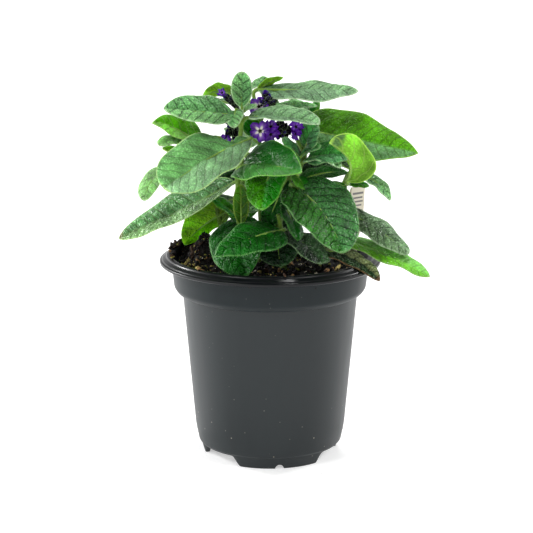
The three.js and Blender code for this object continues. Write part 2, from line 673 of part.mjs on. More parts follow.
// an open flower: five rounded lobes in a shallow dish, on a narrow tube
function corollaSolid([throat, look, radius]) {
  const { lobes, cleft, dish, thickness, tube: depth, tubeRadius, throatDrop } = corolla;
  const rings = [
    [-depth, tubeRadius * 0.8],
    [-thickness - throatDrop, tubeRadius],
    [dish - thickness, radius, true],
    [dish, radius, true],
  ];
  return spindle(vec(throat), vec(look), rings, [-depth - 0.05, -0.3], 2 * lobes, (k) => (k % 2 ? cleft : 1));
}

// the room that an open flower takes among the calyces, with a clearance
function socketSolid([throat, look, radius]) {
  const { dish, thickness, tube: depth, tubeRadius, throatDrop, socketSides, headroom } = corolla;
  const reach = (radius + gap) / Math.cos(Math.PI / socketSides);
  const rings = [
    [-depth - gap, tubeRadius + gap],
    [-thickness - throatDrop - gap, tubeRadius + 2 * gap],
    [dish - thickness - gap, reach],
    [dish + headroom, reach],
  ];
  return spindle(vec(throat), vec(look), rings, [-depth - gap - 0.05, dish + headroom + 0.05], socketSides);
}

function calyxSolid(root, direction, length = calyx.length, radius = calyx.radius, sides = calyx.sides) {
  const rings = [[0.35 * length, radius], [0.75 * length, 0.85 * radius]];
  return spindle(root, direction, rings, [0, length], sides);
}

// a dark core with calyces crowded round it on a spiral
function headSolid({ base, head, calyces, spread, buds }) {
  const axis = vec(head).sub(vec(base)).normalize();
  const start = vec(base).addScaledVector(axis, headCore.clearance + gap);
  const end = vec(head).addScaledVector(axis, headCore.beyond);
  const pieces = [tube([start, end], [headCore.startRadius, headCore.endRadius], headCore.sides)];
  const turn = new THREE.Quaternion().setFromUnitVectors(vec([0, 0, 1]), axis);
  for (let i = 0; i < calyces; i += 1) {
    const polar = spread * Math.sqrt((i + 0.5) / calyces);
    const angle = goldenTurn * i;
    const out = new THREE.Vector3(
      Math.sin(polar) * Math.cos(angle),
      Math.sin(polar) * Math.sin(angle),
      Math.cos(polar),
    ).applyQuaternion(turn);
    pieces.push(calyxSolid(vec(head).addScaledVector(out, 0.4), out));
  }
  buds.forEach(([root, direction, length, radius]) => {
    pieces.push(calyxSolid(vec(root), vec(direction), length, radius, calyx.budSides));
  });
  return joined(pieces);
}

// ---------------------------------------------------------------- the whole

const heliotrope = new THREE.Group();
heliotrope.name = 'potted_heliotrope';

addMesh(heliotrope, 'pot', potSolid(), colours.pot);

const tag = new THREE.Mesh(labelGeometry(0), new THREE.MeshStandardMaterial(colours.label));
tag.name = 'plant_label';
placeLabel(tag);
heliotrope.add(tag);

const tagSlot = solidOf(labelGeometry(gap).applyMatrix4(tag.matrix));
const holes = Object.values(stems).map(({ foot, radius }) => stemHole(foot, radius));
addMesh(heliotrope, 'potting_soil', largest(soilSolid().subtract(joined([tagSlot, ...holes]))), colours.soil);

Object.entries(stems).forEach(([name, stem]) => {
  addMesh(heliotrope, `leafy_stem_${name}`, leafyStem(name, stem), colours.leaf);
});

Object.entries(heads).forEach(([name, head]) => {
  const sockets = joined(Object.values(head.flowers).flat().map(socketSolid));
  addMesh(heliotrope, `flower_head_${name}`, largest(headSolid(head).subtract(sockets)), colours.calyx);
  Object.entries(head.flowers).forEach(([petals, rows]) => {
    addMesh(heliotrope, petals, joined(rows.map(corollaSolid)), colours.petal);
  });
});

export default heliotrope;
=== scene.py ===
import math

import bmesh
import bpy
import numpy as np
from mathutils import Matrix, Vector


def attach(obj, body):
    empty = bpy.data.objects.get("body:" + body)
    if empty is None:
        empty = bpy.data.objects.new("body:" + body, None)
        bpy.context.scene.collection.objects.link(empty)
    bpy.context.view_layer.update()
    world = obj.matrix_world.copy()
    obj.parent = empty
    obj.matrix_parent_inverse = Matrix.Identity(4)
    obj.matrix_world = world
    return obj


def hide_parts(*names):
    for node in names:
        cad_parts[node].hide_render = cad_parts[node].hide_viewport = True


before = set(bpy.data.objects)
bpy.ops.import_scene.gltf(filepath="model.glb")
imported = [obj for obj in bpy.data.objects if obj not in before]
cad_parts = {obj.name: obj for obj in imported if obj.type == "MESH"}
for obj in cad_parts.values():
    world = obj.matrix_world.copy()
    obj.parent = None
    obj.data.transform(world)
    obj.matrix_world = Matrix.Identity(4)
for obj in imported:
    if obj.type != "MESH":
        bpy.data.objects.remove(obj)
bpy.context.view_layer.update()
mm = 0.001  # the pieces below are worked out in millimetres
print("frame loaded,", len(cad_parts), "solids")


def toLinear(hexColour):
    parts = [int(hexColour[i : i + 2], 16) / 255 for i in (1, 3, 5)]
    return np.array([p / 12.92 if p <= 0.04045 else ((p + 0.055) / 1.055) ** 2.4 for p in parts])


def rgba(hexColour):
    return (*toLinear(hexColour), 1.0)


# gives the one function that adds a node to a tree. Its inputs, listed in order or by key, are values,
# sockets, or nodes, which stand for their first output in use.
def nodeAdder(tree):
    def add(kind, inputs=(), **settings):
        node = tree.nodes.new(kind)
        for name, value in settings.items():
            setattr(node, name, value)
        for key, value in inputs.items() if isinstance(inputs, dict) else enumerate(inputs):
            if isinstance(value, bpy.types.Node):
                value = next(socket for socket in value.outputs if socket.enabled)
            if isinstance(value, bpy.types.NodeSocket):
                tree.links.new(value, node.inputs[key])
            else:
                node.inputs[key].default_value = value
        return node

    return add


def newMaterial(name):
    material = bpy.data.materials.new(name)
    material.use_nodes = True
    material.node_tree.nodes.clear()
    return material, nodeAdder(material.node_tree)


def unit(v):
    return v / np.linalg.norm(v, axis=-1, keepdims=True)


# a part is {"points": n x 3, "faces": [quads or triangles], "fields": {name: a value for each point}}
def gather(parts):
    points, faces, fields, start = [], [], {}, 0
    for part in parts:
        points.append(part["points"])
        faces += [f + start for f in part["faces"]]
        for key, value in part["fields"].items():
            fields.setdefault(key, []).append(value)
        start += len(part["points"])
    fields = {key: np.concatenate(value) for key, value in fields.items()}
    return {"points": np.concatenate(points), "faces": faces, "fields": fields}


def meshObject(name, part, material, sharpAngle=None):
    mesh = bpy.data.meshes.new(name)
    corners = np.concatenate([f.ravel() for f in part["faces"]]).astype(np.int32)
    sizes = np.concatenate([np.full(len(f), f.shape[1]) for f in part["faces"]])
    starts = np.concatenate([[0], np.cumsum(sizes)[:-1]]).astype(np.int32)
    mesh.vertices.add(len(part["points"]))
    mesh.vertices.foreach_set("co", (part["points"] * mm).astype(np.float32).ravel())
    mesh.loops.add(len(corners))
    mesh.loops.foreach_set("vertex_index", corners)
    mesh.polygons.add(len(sizes))
    mesh.polygons.foreach_set("loop_start", starts)
    mesh.update(calc_edges=True)
    mesh.polygons.foreach_set("use_smooth", np.ones(len(sizes), bool))
    for key, value in part["fields"].items():
        if value.ndim == 2:
            layer = mesh.color_attributes.new(key, "FLOAT_COLOR", "POINT")
            colours = np.c_[value, np.ones(len(value))]
            layer.data.foreach_set("color", colours.astype(np.float32).ravel())
        else:
            layer = mesh.attributes.new(key, "FLOAT", "POINT")
            layer.data.foreach_set("value", value.astype(np.float32))
    if sharpAngle:
        mesh.set_sharp_from_angle(angle=math.radians(sharpAngle))
    mesh.materials.append(material)
    mesh.validate()
    piece = bpy.data.objects.new(name, mesh)
    bpy.context.scene.collection.objects.link(piece)
    return piece


def settle(piece, slot, *nodes):
    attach(piece, "root")
    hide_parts(*nodes)


# quads between rows and columns of points, closed round the columns if asked
def gridFaces(rows, columns, closed=False):
    across = columns if closed else columns - 1
    i, j = np.meshgrid(np.arange(rows - 1), np.arange(across), indexing="ij")
    here, side = i * columns + j, i * columns + (j + 1) % columns
    return np.stack([here, side, side + columns, here + columns], -1).reshape(-1, 4)


# two layers of points joined round their edges
def closedSheet(upper, under):
    rows, columns = upper.shape[:2]
    top = gridFaces(rows, columns)
    bottom = top[:, ::-1] + rows * columns
    index = np.arange(rows * columns).reshape(rows, columns)
    rim = np.concatenate([index[:, 0], index[-1, 1:], index[-2::-1, -1], index[0, -2:0:-1]])
    ahead = np.roll(rim, -1)
    wall = np.stack([rim, ahead, ahead + rows * columns, rim + rows * columns], -1)
    return np.concatenate([upper.reshape(-1, 3), under.reshape(-1, 3)]), [top, bottom, wall]


# rings of points (rings x sides x 3) closed by a point at each end
def cappedRings(rings, start, end):
    count, sides = rings.shape[:2]
    points = np.concatenate([rings.reshape(-1, 3), [start, end]])
    k = np.arange(sides)
    ahead = (k + 1) % sides
    last = (count - 1) * sides
    first = np.stack([ahead, k, np.full(sides, count * sides)], -1)
    final = np.stack([k + last, ahead + last, np.full(sides, count * sides + 1)], -1)
    return points, [gridFaces(count, sides, closed=True), first, final]


# a round stalk along a path
def sweep(path, radii, sides):
    path, radii = np.asarray(path, float), np.asarray(radii, float)
    along = unit(np.gradient(path, axis=0))
    across = np.zeros_like(path)
    guide = np.array([0.31, 0.95, 0.07])
    for i, step in enumerate(along):
        guide = unit(guide - step * (guide @ step))
        across[i] = guide
    up = np.cross(along, across)
    angle = np.linspace(0, 2 * math.pi, sides, endpoint=False)[None, :, None]
    ring = across[:, None] * np.cos(angle) + up[:, None] * np.sin(angle)
    return cappedRings(path[:, None] + ring * radii[:, None, None], path[0], path[-1])


def bezier(a, control, b, steps):
    t = np.linspace(0, 1, steps)[:, None]
    return (1 - t) ** 2 * a + 2 * t * (1 - t) * control + t * t * b


# smooth seeded noise, mostly between -1 and 1: a sum of waves in random directions
def waves(points, wavelength, seed, count=14):
    rng = np.random.default_rng(seed)
    directions = unit(rng.normal(size=(count, points.shape[-1])))
    lengths = wavelength * rng.uniform(0.6, 1.6, count)
    phase = rng.uniform(0, 2 * math.pi, count)
    turns = points @ (directions / lengths[:, None]).T * 2 * math.pi
    return np.sin(turns + phase).sum(-1) / math.sqrt(count)


# outlines of a blade: the powers by which it widens from its neck and narrows to its tip
oval, blunt, disc, heart = (0.55, 0.65), (0.62, 0.42), (0.5, 0.5), (0.3, 0.6)
taper, broad = (0.35, 0.8), (0.35, 0.55)

# base and second colour the two halves of the upper face. Their difference is partly painted light and shade,
# where one half lay lit and the other shaded. under colours the lower face, and edge the margin and the pale
# veins.
# glow is the light that comes through, relief how wrinkled the blade is and shine how glossy. The fuzz value
# sets its sheen and the pale painted sheen on its raised cushions, and rib how pale its veins are. A dry tip
# has a colour, tip, and begins at tipFrom.
leafLooks = {
    "waxy": dict(base="#7aac73", second="#71b464", edge="#b4d98a", under="#86a97c",
                 glow=0.12, relief=0.65, shine=0.55, fuzz=0.1, rib=0.1),
    "dusty": dict(base="#86c977", second="#71b76a", edge="#b8dca6", under="#5c7a52",
                  glow=0.12, relief=1.0, shine=0.5, fuzz=0.15, rib=0.0),
    "frost": dict(base="#86b97e", second="#83b27f", edge="#bcdcae", under="#86a882",
                  glow=0.15, relief=0.8, shine=0.5, fuzz=0.15, rib=0.05),
    "silk": dict(base="#0a5c06", second="#38792c", edge="#7cc24a", under="#6f9a60",
                 glow=0.15, relief=0.45, shine=0.7, fuzz=0.0, rib=0.1),
    "fresh": dict(base="#158301", second="#3d8f01", edge="#6ab03c", under="#3c8420",
                  glow=0.2, relief=0.6, shine=0.5, fuzz=0.0, rib=0.15),
    "sage": dict(base="#4aac46", second="#4d9052", edge="#7cac6c", under="#6fa854",
                 glow=0.1, relief=0.9, shine=0.5, fuzz=0.1, rib=0.05),
    "deep": dict(base="#0c6009", second="#0f5e0a", edge="#4f8f40", under="#1f5c18",
                 glow=0.1, relief=0.7, shine=0.55, fuzz=0.0, rib=0.0),
    "glossy": dict(base="#377234", second="#266416", edge="#6aa057", under="#2f6a18",
                   glow=0.08, relief=1.5, shine=1.0, fuzz=0.0, rib=0.0),
    "moss": dict(base="#3f7a06", second="#2c5c06", edge="#7a9a34", under="#3a6a1c",
                 glow=0.2, relief=0.5, shine=0.4, fuzz=0.0, rib=0.5),
    "shade": dict(base="#123c14", second="#123c14", edge="#3f7a38", under="#30583c",
                  glow=0.08, relief=0.9, shine=0.5, fuzz=0.0, rib=0.05),
    "old": dict(base="#325d2e", second="#06280a", edge="#6f8f62", under="#4f6a48",
                glow=0.04, relief=1.3, shine=0.5, fuzz=0.1, rib=0.05),
    "gloom": dict(base="#08280a", second="#061c08", edge="#3f6038", under="#20402c",
                  glow=0.02, relief=1.2, shine=0.5, fuzz=0.0, rib=0.05),
    "slate": dict(base="#769f6c", second="#698e5c", edge="#a0bc92", under="#6f8a68",
                  glow=0.05, relief=1.3, shine=0.65, fuzz=0.2, rib=0.05),
    "olive": dict(base="#95a36a", second="#123408", edge="#7a5a3c", under="#5c6a40",
                  glow=0.04, relief=1.3, shine=0.4, fuzz=0.1, rib=0.1, tip="#6a4a34"),
    "meadow": dict(base="#82cf5a", second="#63b216", edge="#9cc870", under="#6c9b3c",
                   glow=0.15, relief=0.5, shine=0.5, fuzz=0.1, rib=0.2),
    "strap": dict(base="#84b46e", second="#5f9c57", edge="#b4d88c", under="#6f9a58",
                  glow=0.12, relief=1.2, shine=0.8, fuzz=0.1, rib=0.3, tip="#8a5a48"),
    "backlit": dict(base="#3b8206", second="#458d0a", edge="#a8d860", under="#a9cc44",
                    glow=0.5, relief=0.7, shine=0.3, fuzz=0.0, rib=0.4),
    "spring": dict(base="#94dd5c", second="#5db203", edge="#b0dc80", under="#6aa840",
                   glow=0.35, relief=0.6, shine=0.4, fuzz=0.1, rib=0.3),
    "mint": dict(base="#83bc6c", second="#a0d58c", edge="#b8dca0", under="#80b070",
                 glow=0.3, relief=0.7, shine=0.4, fuzz=0.15, rib=0.2),
    "lime": dict(base="#7cc021", second="#86c82c", edge="#c4e878", under="#9cdb4a",
                 glow=0.4, relief=0.5, shine=0.4, fuzz=0.1, rib=0.3, tip="#6f9a5c", tipFrom=0.82),
    "split": dict(base="#65b415", second="#77b26c", edge="#9ccb58", under="#6f9a60",
                  glow=0.3, relief=0.7, shine=0.45, fuzz=0.1, rib=0.2),
}

# Each stem rises from foot (x, y) past bend to top. A leaf row is (place along the stem, blade neck, blade
# tip, width, where its upper face looks, fold, arch, sideways bend, outline, look). Two leaves also say how
# wide each half is, or how deep the dent in one half is.
stems = {
    "front": dict(foot=(-13, -14), bend=(-19.5, -18, 145), top=(-13.7, -14, 181), radius=1.9, leaves=[
        (0.80, (-10.2, -18, 169.4), (-52.5, -42, 148.2), 35, (-0.1, -0.55, 0.85), 0.14, 0.06, 0,
         blunt, "waxy", dict(dent=0.72)),
        (0.88, (-18.5, -15, 180.9), (-53.3, -26, 185.6), 19.5, (0.3, -0.6, 0.75), 0.2, 0.02, 0,
         oval, "dusty"),
        (0.98, (-14.4, -14, 185), (-14.4, -10, 202.5), 11.4, (0, -1, 0.2), 0.3, -0.04, 0, disc, "dusty"),
        (0.98, (-17.5, -15, 183.5), (-18, -22, 175.5), 10, (-0.3, -0.65, 0.65), 0.06, 0.1, 0, heart, "dusty"),
        (0.98, (-13, -15, 183), (-7, -16, 185.2), 7, (-0.35, -0.15, 0.9), 0.05, 0.1, -0.2, oval, "dusty"),
        (0.95, (-11, -16, 180), (24.5, -28, 178.5), 17, (-0.05, -0.3, 0.95), 0.28, 0.03, -0.04,
         disc, "frost"),
        (0.50, (-14, -20, 156), (15.5, -46, 157.5), 31, (-0.35, -0.35, 0.85), 0.2, 0.06, 0, taper, "silk"),
        (0.15, (-18.5, -10, 145.5), (-78.6, 2, 113.3), 23, (-0.45, -0.5, 0.75), 0.3, -0.02, 0, oval, "strap"),
        (0.12, (-14, -13, 128), (-11, -40, 103.6), 30, (-0.35, -0.6, 0.7), 0.2, 0.05, 0.08, oval, "deep"),
        (0.24, (-15, -8, 125.5), (-32.5, -2, 137), 12, (0.45, -0.3, 0.85), 0.1, 0.05, 0, oval, "fresh"),
        (0.35, (-12.5, -10, 129.5), (-5, -6, 131), 6, (-0.1, -0.25, 0.95), 0.05, 0.08, 0, oval, "dusty"),
        (0.70, (-27.5, -4, 167.6), (-40, -8, 165.4), 9, (-0.1, -0.2, 0.95), 0.1, 0.08, 0, oval, "fresh"),
        (0.12, (-14.8, -21, 126.5), (-15.2, -22, 147), 8.5, (0.1, -1, 0.15), 0.3, 0.03, 0, disc, "moss"),
        (0.50, (-14, 1, 148.5), (-30, 2, 142), 10, (-0.3, -0.85, 0.45), 0.1, 0.05, 0, oval, "shade"),
    ]),
    "top": dict(foot=(-4, 6), bend=(-6, 6, 149), top=(-5.5, 2, 181), radius=1.8, leaves=[
        (0.98, (-6, 5, 191.2), (44.5, -6, 191.9), 21, (-0.05, -0.35, 0.95), -0.06, 0, 0, oval, "frost"),
        (0.85, (2.5, 8, 181.6), (24, 4, 182.2), 13, (-0.05, -0.15, 1), 0.05, 0.05, 0, oval, "dusty"),
        (0.98, (-9.7, 10, 191), (-0.7, 10, 195.8), 10, (-0.45, -0.3, 0.85), 0.05, 0.08, 0, disc, "dusty"),
        (0.98, (-6.5, 6, 190.5), (6.5, 4, 197.5), 8, (-0.3, 0.6, 0.75), 0.05, 0.08, 0, oval, "backlit"),
        (0.55, (-10.5, -2, 159), (8, -4, 161), 16, (-0.15, -0.25, 0.95), 0.12, 0.08, 0, oval, "fresh"),
        (0.75, (-9, -3, 168.5), (-9.5, -6, 179), 10, (0, -1, 0.2), 0.05, 0.03, 0, oval, "fresh"),
    ]),
    "right": dict(foot=(-5, -4), bend=(10, -10, 134), top=(18, -8, 162), radius=1.9, leaves=[
        (0.62, (1.5, -12, 153.5), (-4, -34, 136), 22, (-0.35, -0.5, 0.8), 0.05, 0.1, 0, oval, "fresh"),
        (0.60, (12, -18, 145), (36, -50, 117.5), 35, (0.15, -0.6, 0.8), 0.18, 0.08, -0.05, broad, "glossy"),
        (0.50, (7, -12, 134.5), (13.5, -30.5, 119.3), 13, (0.6, -0.4, 0.65), 0.1, 0.05, 0, oval, "deep"),
        (0.58, (8.5, -11, 147.5), (-2.5, -13, 121.5), 14, (-0.2, -0.85, 0.45), 0.1, 0.04, 0, oval, "deep"),
        (0.98, (15.5, -12, 157.5), (6, -20, 169.5), 10, (0.85, -0.35, 0.4), 0.06, 0.05, 0, disc, "sage"),
        (0.98, (18, -8, 163), (23.5, -12, 176.5), 18, (-0.8, -0.55, 0.2), 0.12, 0.05, 0, disc, "sage"),
        (0.98, (15.5, -14, 159.5), (25, -18, 164.5), 8, (-0.55, -0.2, 0.8), 0.1, 0.08, -0.2, disc, "sage"),
        (0.97, (19, -10, 157), (41, -14, 159.5), 22, (-0.15, -0.4, 0.9), 0.18, 0.1, 0, disc, "sage"),
        (0.95, (16.5, -14, 156.5), (35, -24, 155.5), 10, (0, -0.15, 1), 0.22, 0.1, -0.12, disc, "dusty"),
        (0.85, (14, -10, 146.6), (38.5, -14.5, 152.3), 19, (-0.15, 0.55, 0.85), 0.05, 0.08, -0.06,
         disc, "deep"),
        (0.80, (13, -14, 149.5), (17.5, -22, 144), 12, (0.4, -0.35, 0.85), 0.05, 0.1, 0, disc, "fresh"),
        (0.80, (13.5, -16, 151), (10, -20, 160), 8, (0.9, -0.3, 0.25), 0.05, 0.08, 0.1, disc, "sage"),
        (0.97, (16, 6, 170.4), (75.3, -10, 160.6), 31, (-0.1, -0.75, 0.68), 0.12, 0.012, 0, taper, "split"),
        (0.80, (7, 0, 144), (34, 9, 152), 16, (-0.1, -0.75, 0.6), 0.1, 0.05, 0, oval, "shade"),
        (0.90, (7, 5, 152), (17, 8, 162), 11, (-0.3, -0.8, 0.4), 0.05, 0.05, 0, oval, "shade"),
        (0.45, (-3, 4, 128), (10.5, -4, 112.5), 14, (0.3, -0.8, 0.5), 0.1, 0.05, 0, oval, "shade"),
    ]),
    "low": dict(foot=(7, -17), bend=(6, -19, 123), top=(4, -20, 131), radius=1.6, leaves=[
        (0.55, (5.5, -28, 124.3), (-27.5, -53, 117), 24, (0.15, -0.45, 0.9), -0.06, 0.07, 0, taper, "deep"),
        (0.20, (20, -24.5, 113.4), (55.4, -30.5, 98.8), 16, (0.4, -0.35, 0.85), 0.06, 0.09, -0.08,
         oval, "olive"),
        (0.30, (9, -17, 121.2), (25.5, -38, 109), 27, (0.4, -0.2, 0.9), 0.06, 0.06, 0, disc, "old"),
        (0.40, (3, -20, 121.5), (5, -40, 108.5), 22, (-0.1, -0.5, 0.85), 0.1, 0.06, 0, disc, "gloom"),
    ]),
    "side": dict(foot=(24, -2), bend=(31, 0, 126), top=(40, -6, 150), radius=1.7, leaves=[
        (0.30, (33, -8, 132), (70.7, -20, 110.3), 18, (0.3, -0.5, 0.8), -0.08, 0.05, -0.02, disc, "slate"),
        (0.15, (36, -9, 115.6), (81, -26, 99.8), 21, (0.25, -0.25, 0.93), 0.1, 0.04, 0, oval, "meadow"),
        (0.98, (38.5, -16, 147.5), (29.5, -22, 168), 26, (0.65, 0.65, 0.45), 0.54, 0.05, -0.33, disc, "lime",
         dict(halves=(1, 0.25))),
        (0.98, (46.5, -10, 149.2), (60.6, -16, 137.2), 13, (0.55, -0.3, 0.8), 0.06, 0.12, -0.05,
         oval, "dusty"),
        (0.90, (38.5, -13, 144.5), (28.5, -19, 142.5), 9, (0, -0.6, 0.8), 0.1, 0.05, 0, disc, "fresh"),
        (0.95, (39, -4, 144), (50.5, -8, 143), 9, (0, -0.15, 1), -0.1, 0.08, 0, disc, "fresh"),
    ]),
    "left": dict(foot=(-22, 10), bend=(-30, 14, 137), top=(-38, 6, 161.5), radius=1.7, leaves=[
        (0.25, (-21, 10, 126.5), (-45, 6, 109.5), 24, (-0.45, 0.8, 0.4), 0.3, 0.1, 0, oval, "backlit"),
        (0.98, (-36.5, 3, 161.8), (-60.2, -6, 175.2), 21, (0.65, -0.4, 0.65), 0.2, 0.08, 0.07,
         taper, "spring"),
        (0.97, (-41, 0, 164.2), (-56.3, -12, 164.6), 11, (0.15, -0.2, 0.95), 0.08, 0.08, 0.08, disc, "mint"),
        (0.95, (-44.5, -2, 160.8), (-54.5, -10, 162.6), 9, (0.3, -0.15, 0.95), -0.16, 0.08, 0, disc, "lime"),
        (0.80, (-47.2, 0, 152), (-64.2, -14, 137), 13, (-0.35, -0.5, 0.8), 0.05, 0.1, 0.14, disc, "mint"),
    ]),
    "back_left": dict(foot=(-12, 24), bend=(-14, 30, 150), top=(-18, 20, 184), radius=1.8, leaves=[
        (0.98, (-19, 16, 188), (-34.6, 12, 187.9), 14, (-0.2, 0.6, 0.75), 0.05, 0.08, 0, disc, "backlit"),
        (0.60, (-22, 32, 160), (-46, 44, 148), 22, (-0.3, 0.5, 0.8), 0.2, 0.08, 0, oval, "fresh"),
        (0.70, (-16, 34, 166), (-10, 56, 152), 23, (0, 0.6, 0.8), 0.2, 0.1, 0, oval, "frost"),
        (0.40, (-18, 30, 130), (-40, 42, 111), 24, (-0.4, 0.5, 0.75), 0.2, 0.08, 0, oval, "frost"),
        (0.30, (-12, 32, 128), (-16, 54, 110), 24, (-0.1, 0.6, 0.8), 0.2, 0.1, 0, oval, "fresh"),
        (0.85, (-14, 24, 178), (4, 42, 176), 18, (0.1, 0.4, 0.9), 0.2, 0.08, 0, oval, "dusty"),
        (0.92, (-22, 22, 182), (-36, 34, 176), 15, (-0.3, 0.4, 0.85), 0.2, 0.08, 0, oval, "dusty"),
        (0.98, (-17, 20, 186), (-12, 24, 193), 7, (-0.5, -0.5, 0.5), 0.2, 0, 0, oval, "backlit"),
    ]),
    "back_right": dict(foot=(12, 20), bend=(16, 28, 146), top=(22, 24, 172), radius=1.8, leaves=[
        (0.95, (24, 26, 172), (44, 36, 166), 17, (0.3, 0.4, 0.85), 0.2, 0.08, 0, oval, "dusty"),
        (0.75, (22, 30, 162), (30, 54, 148), 22, (0.1, 0.6, 0.8), 0.2, 0.08, 0, oval, "fresh"),
        (0.60, (26, 26, 152), (50, 32, 138), 21, (0.4, 0.35, 0.85), 0.2, 0.08, 0, oval, "dusty"),
        (0.40, (18, 30, 138), (28, 54, 116), 25, (0.2, 0.6, 0.75), 0.2, 0.08, 0, oval, "fresh"),
        (0.30, (22, 22, 128), (50, 36, 109), 22, (0.35, 0.4, 0.85), 0.2, 0.12, 0, oval, "frost"),
        (0.98, (20, 22, 174), (10, 30, 182), 14, (-0.2, 0.3, 0.9), 0.2, 0.08, 0, oval, "dusty"),
        (0.98, (22, 24, 174), (26, 22, 182), 9, (-0.6, -0.5, 0.4), 0.2, 0, 0, oval, "fresh"),
    ]),
}

bladeForm = dict(
    cell=0.7,  # spacing of the mesh
    leastRows=12,
    leastColumns=4,
    crowding=0.7,  # how much closer the rows stand at both ends
    thickness=0.4,
    leastHalf=0.5,
    dentPlace=0.17,  # from neck to tip, as all places on a blade
    dentWidth=0.09,
    fullWidth=18,  # narrower blades are smoother
    veinSpacing=5.2,
    leastVeins=4,
    veinLean=0.42,
    veinBend=1.2,
    stagger=0.45,  # how far the veins of one half are ahead of the other's
    wander=0.2,  # how irregular the veins run
    groove=0.3,  # depth of the side veins
    grooveWidth=0.6,
    pucker=0.75,  # height of the cushions between them
    cushion=3.4,  # spacing of the cushions along a vein
    ribGroove=0.5,
    ribWidth=0.8,
    camber=0.9,  # how far each half swells
    buckle=0.4,  # height and length of the broad waves
    buckleLength=15,
    wave=0.035,  # height of the waves along the edge, as a part of the width
    waveTurns=13.8,
    seam=1.6,  # width over which one half's colour turns into the other's
    patch=11,  # size of lighter and darker patches
    dryFrom=0.94,
    underShine=0.2,
    underFuzzAndPaintedSheen=0.2,
    underRib=0.5,
    ribEnd=0.82,  # where the stalk's ridge under the blade ends
    ribDrop=0.25,
)


# v runs from neck to tip and u from one edge over the rib to the other
def bladeGrid(length, width):
    form = bladeForm
    rows = max(int(length / form["cell"]), form["leastRows"])
    columns = 2 * max(int(width / form["cell"] / 2), form["leastColumns"])
    s = np.linspace(0, 1, rows + 1)
    v = (s - form["crowding"] * np.sin(2 * math.pi * s) / (2 * math.pi))[:, None]
    return v, np.linspace(-1, 1, columns + 1)[None, :]


# half the blade's width along its length, and how far each half reaches from the rib
def bladeReach(row, v, u):
    form, width, (rise, fall) = bladeForm, row[3], row[8]
    extra = row[10] if len(row) > 10 else {}
    widest = rise / (rise + fall)
    half = width / 2 * (v / widest) ** rise * ((1 - v) / (1 - widest)) ** fall
    half = np.maximum(half, form["leastHalf"] * (1 - 0.6 * v))
    dent = 1 - extra.get("dent", 0) * np.exp(-(((v - form["dentPlace"]) / form["dentWidth"]) ** 2))
    left, right = extra.get("halves", (1, 1))
    return half, half * np.where(u < 0, left, right * dent)


# a count of the side veins, whole at each vein, that runs from neck to tip, and their spacing
def veinRows(x, u, v, length, width, seed):
    form = bladeForm
    count = max(round(length / form["veinSpacing"]), form["leastVeins"])
    lean = form["veinLean"] * width / length
    bent = lean * (np.abs(x) / (width / 2)) ** form["veinBend"]
    row = count * (v - bent) + np.where(u > 0, form["stagger"], 0.0)
    spread = np.stack([x, v * length + 0 * x], -1)
    stray = waves(spread, 11, seed + 5) + 0.5 * waves(spread, 4, seed + 6)
    return row + form["wander"] * stray * np.abs(u), length / count


# height of the cushions less that of the sunken veins between them, and how it fades near the outline
def quilting(x, u, v, veinRow, spacing, rng):
    form = bladeForm
    phase = veinRow - np.floor(veinRow)
    away = np.minimum(phase, 1 - phase) * spacing * 0.75
    groove = form["groove"] * np.exp(-((away / form["grooveWidth"]) ** 2))
    shift = rng.uniform(0, 6, 400)[(np.floor(veinRow).astype(int) * 2 + (u > 0)) % 400]
    cushions = 0.6 + 0.4 * np.sin(2 * math.pi * np.abs(x) / form["cushion"] + shift)
    pucker = form["pucker"] * np.sin(math.pi * phase) ** 0.8 * cushions
    inside = (1 - np.abs(u) ** 5) * np.clip(v * 8, 0, 1) * np.clip((1 - v) * 8, 0, 1)
    return pucker - groove, inside


def bladeTints(look, x, v, centre, seed, rng):
    form = bladeForm
    mix = np.clip(0.5 + x / form["seam"], 0, 1)[..., None]
    tint = toLinear(look["base"]) * (1 - mix) + toLinear(look["second"]) * mix
    patch = 1 + 0.2 * waves(centre, form["patch"], seed + 1) + 0.1 * rng.normal()
    patch = np.clip(patch * (0.66 + 0.68 * v), 0.45, 1.7)[..., None]  # painted shade: darker towards the stem
    tint, under = tint * patch, toLinear(look["under"]) * patch
    if "tip" in look:
        past = v - look.get("tipFrom", form["dryFrom"])
        dry = np.clip(past * 18 + 0.3 * waves(centre, 4, seed + 2), 0, 1)[..., None]
        tint, under = (t * (1 - dry) + toLinear(look["tip"]) * dry for t in (tint, under))
    return tint, under


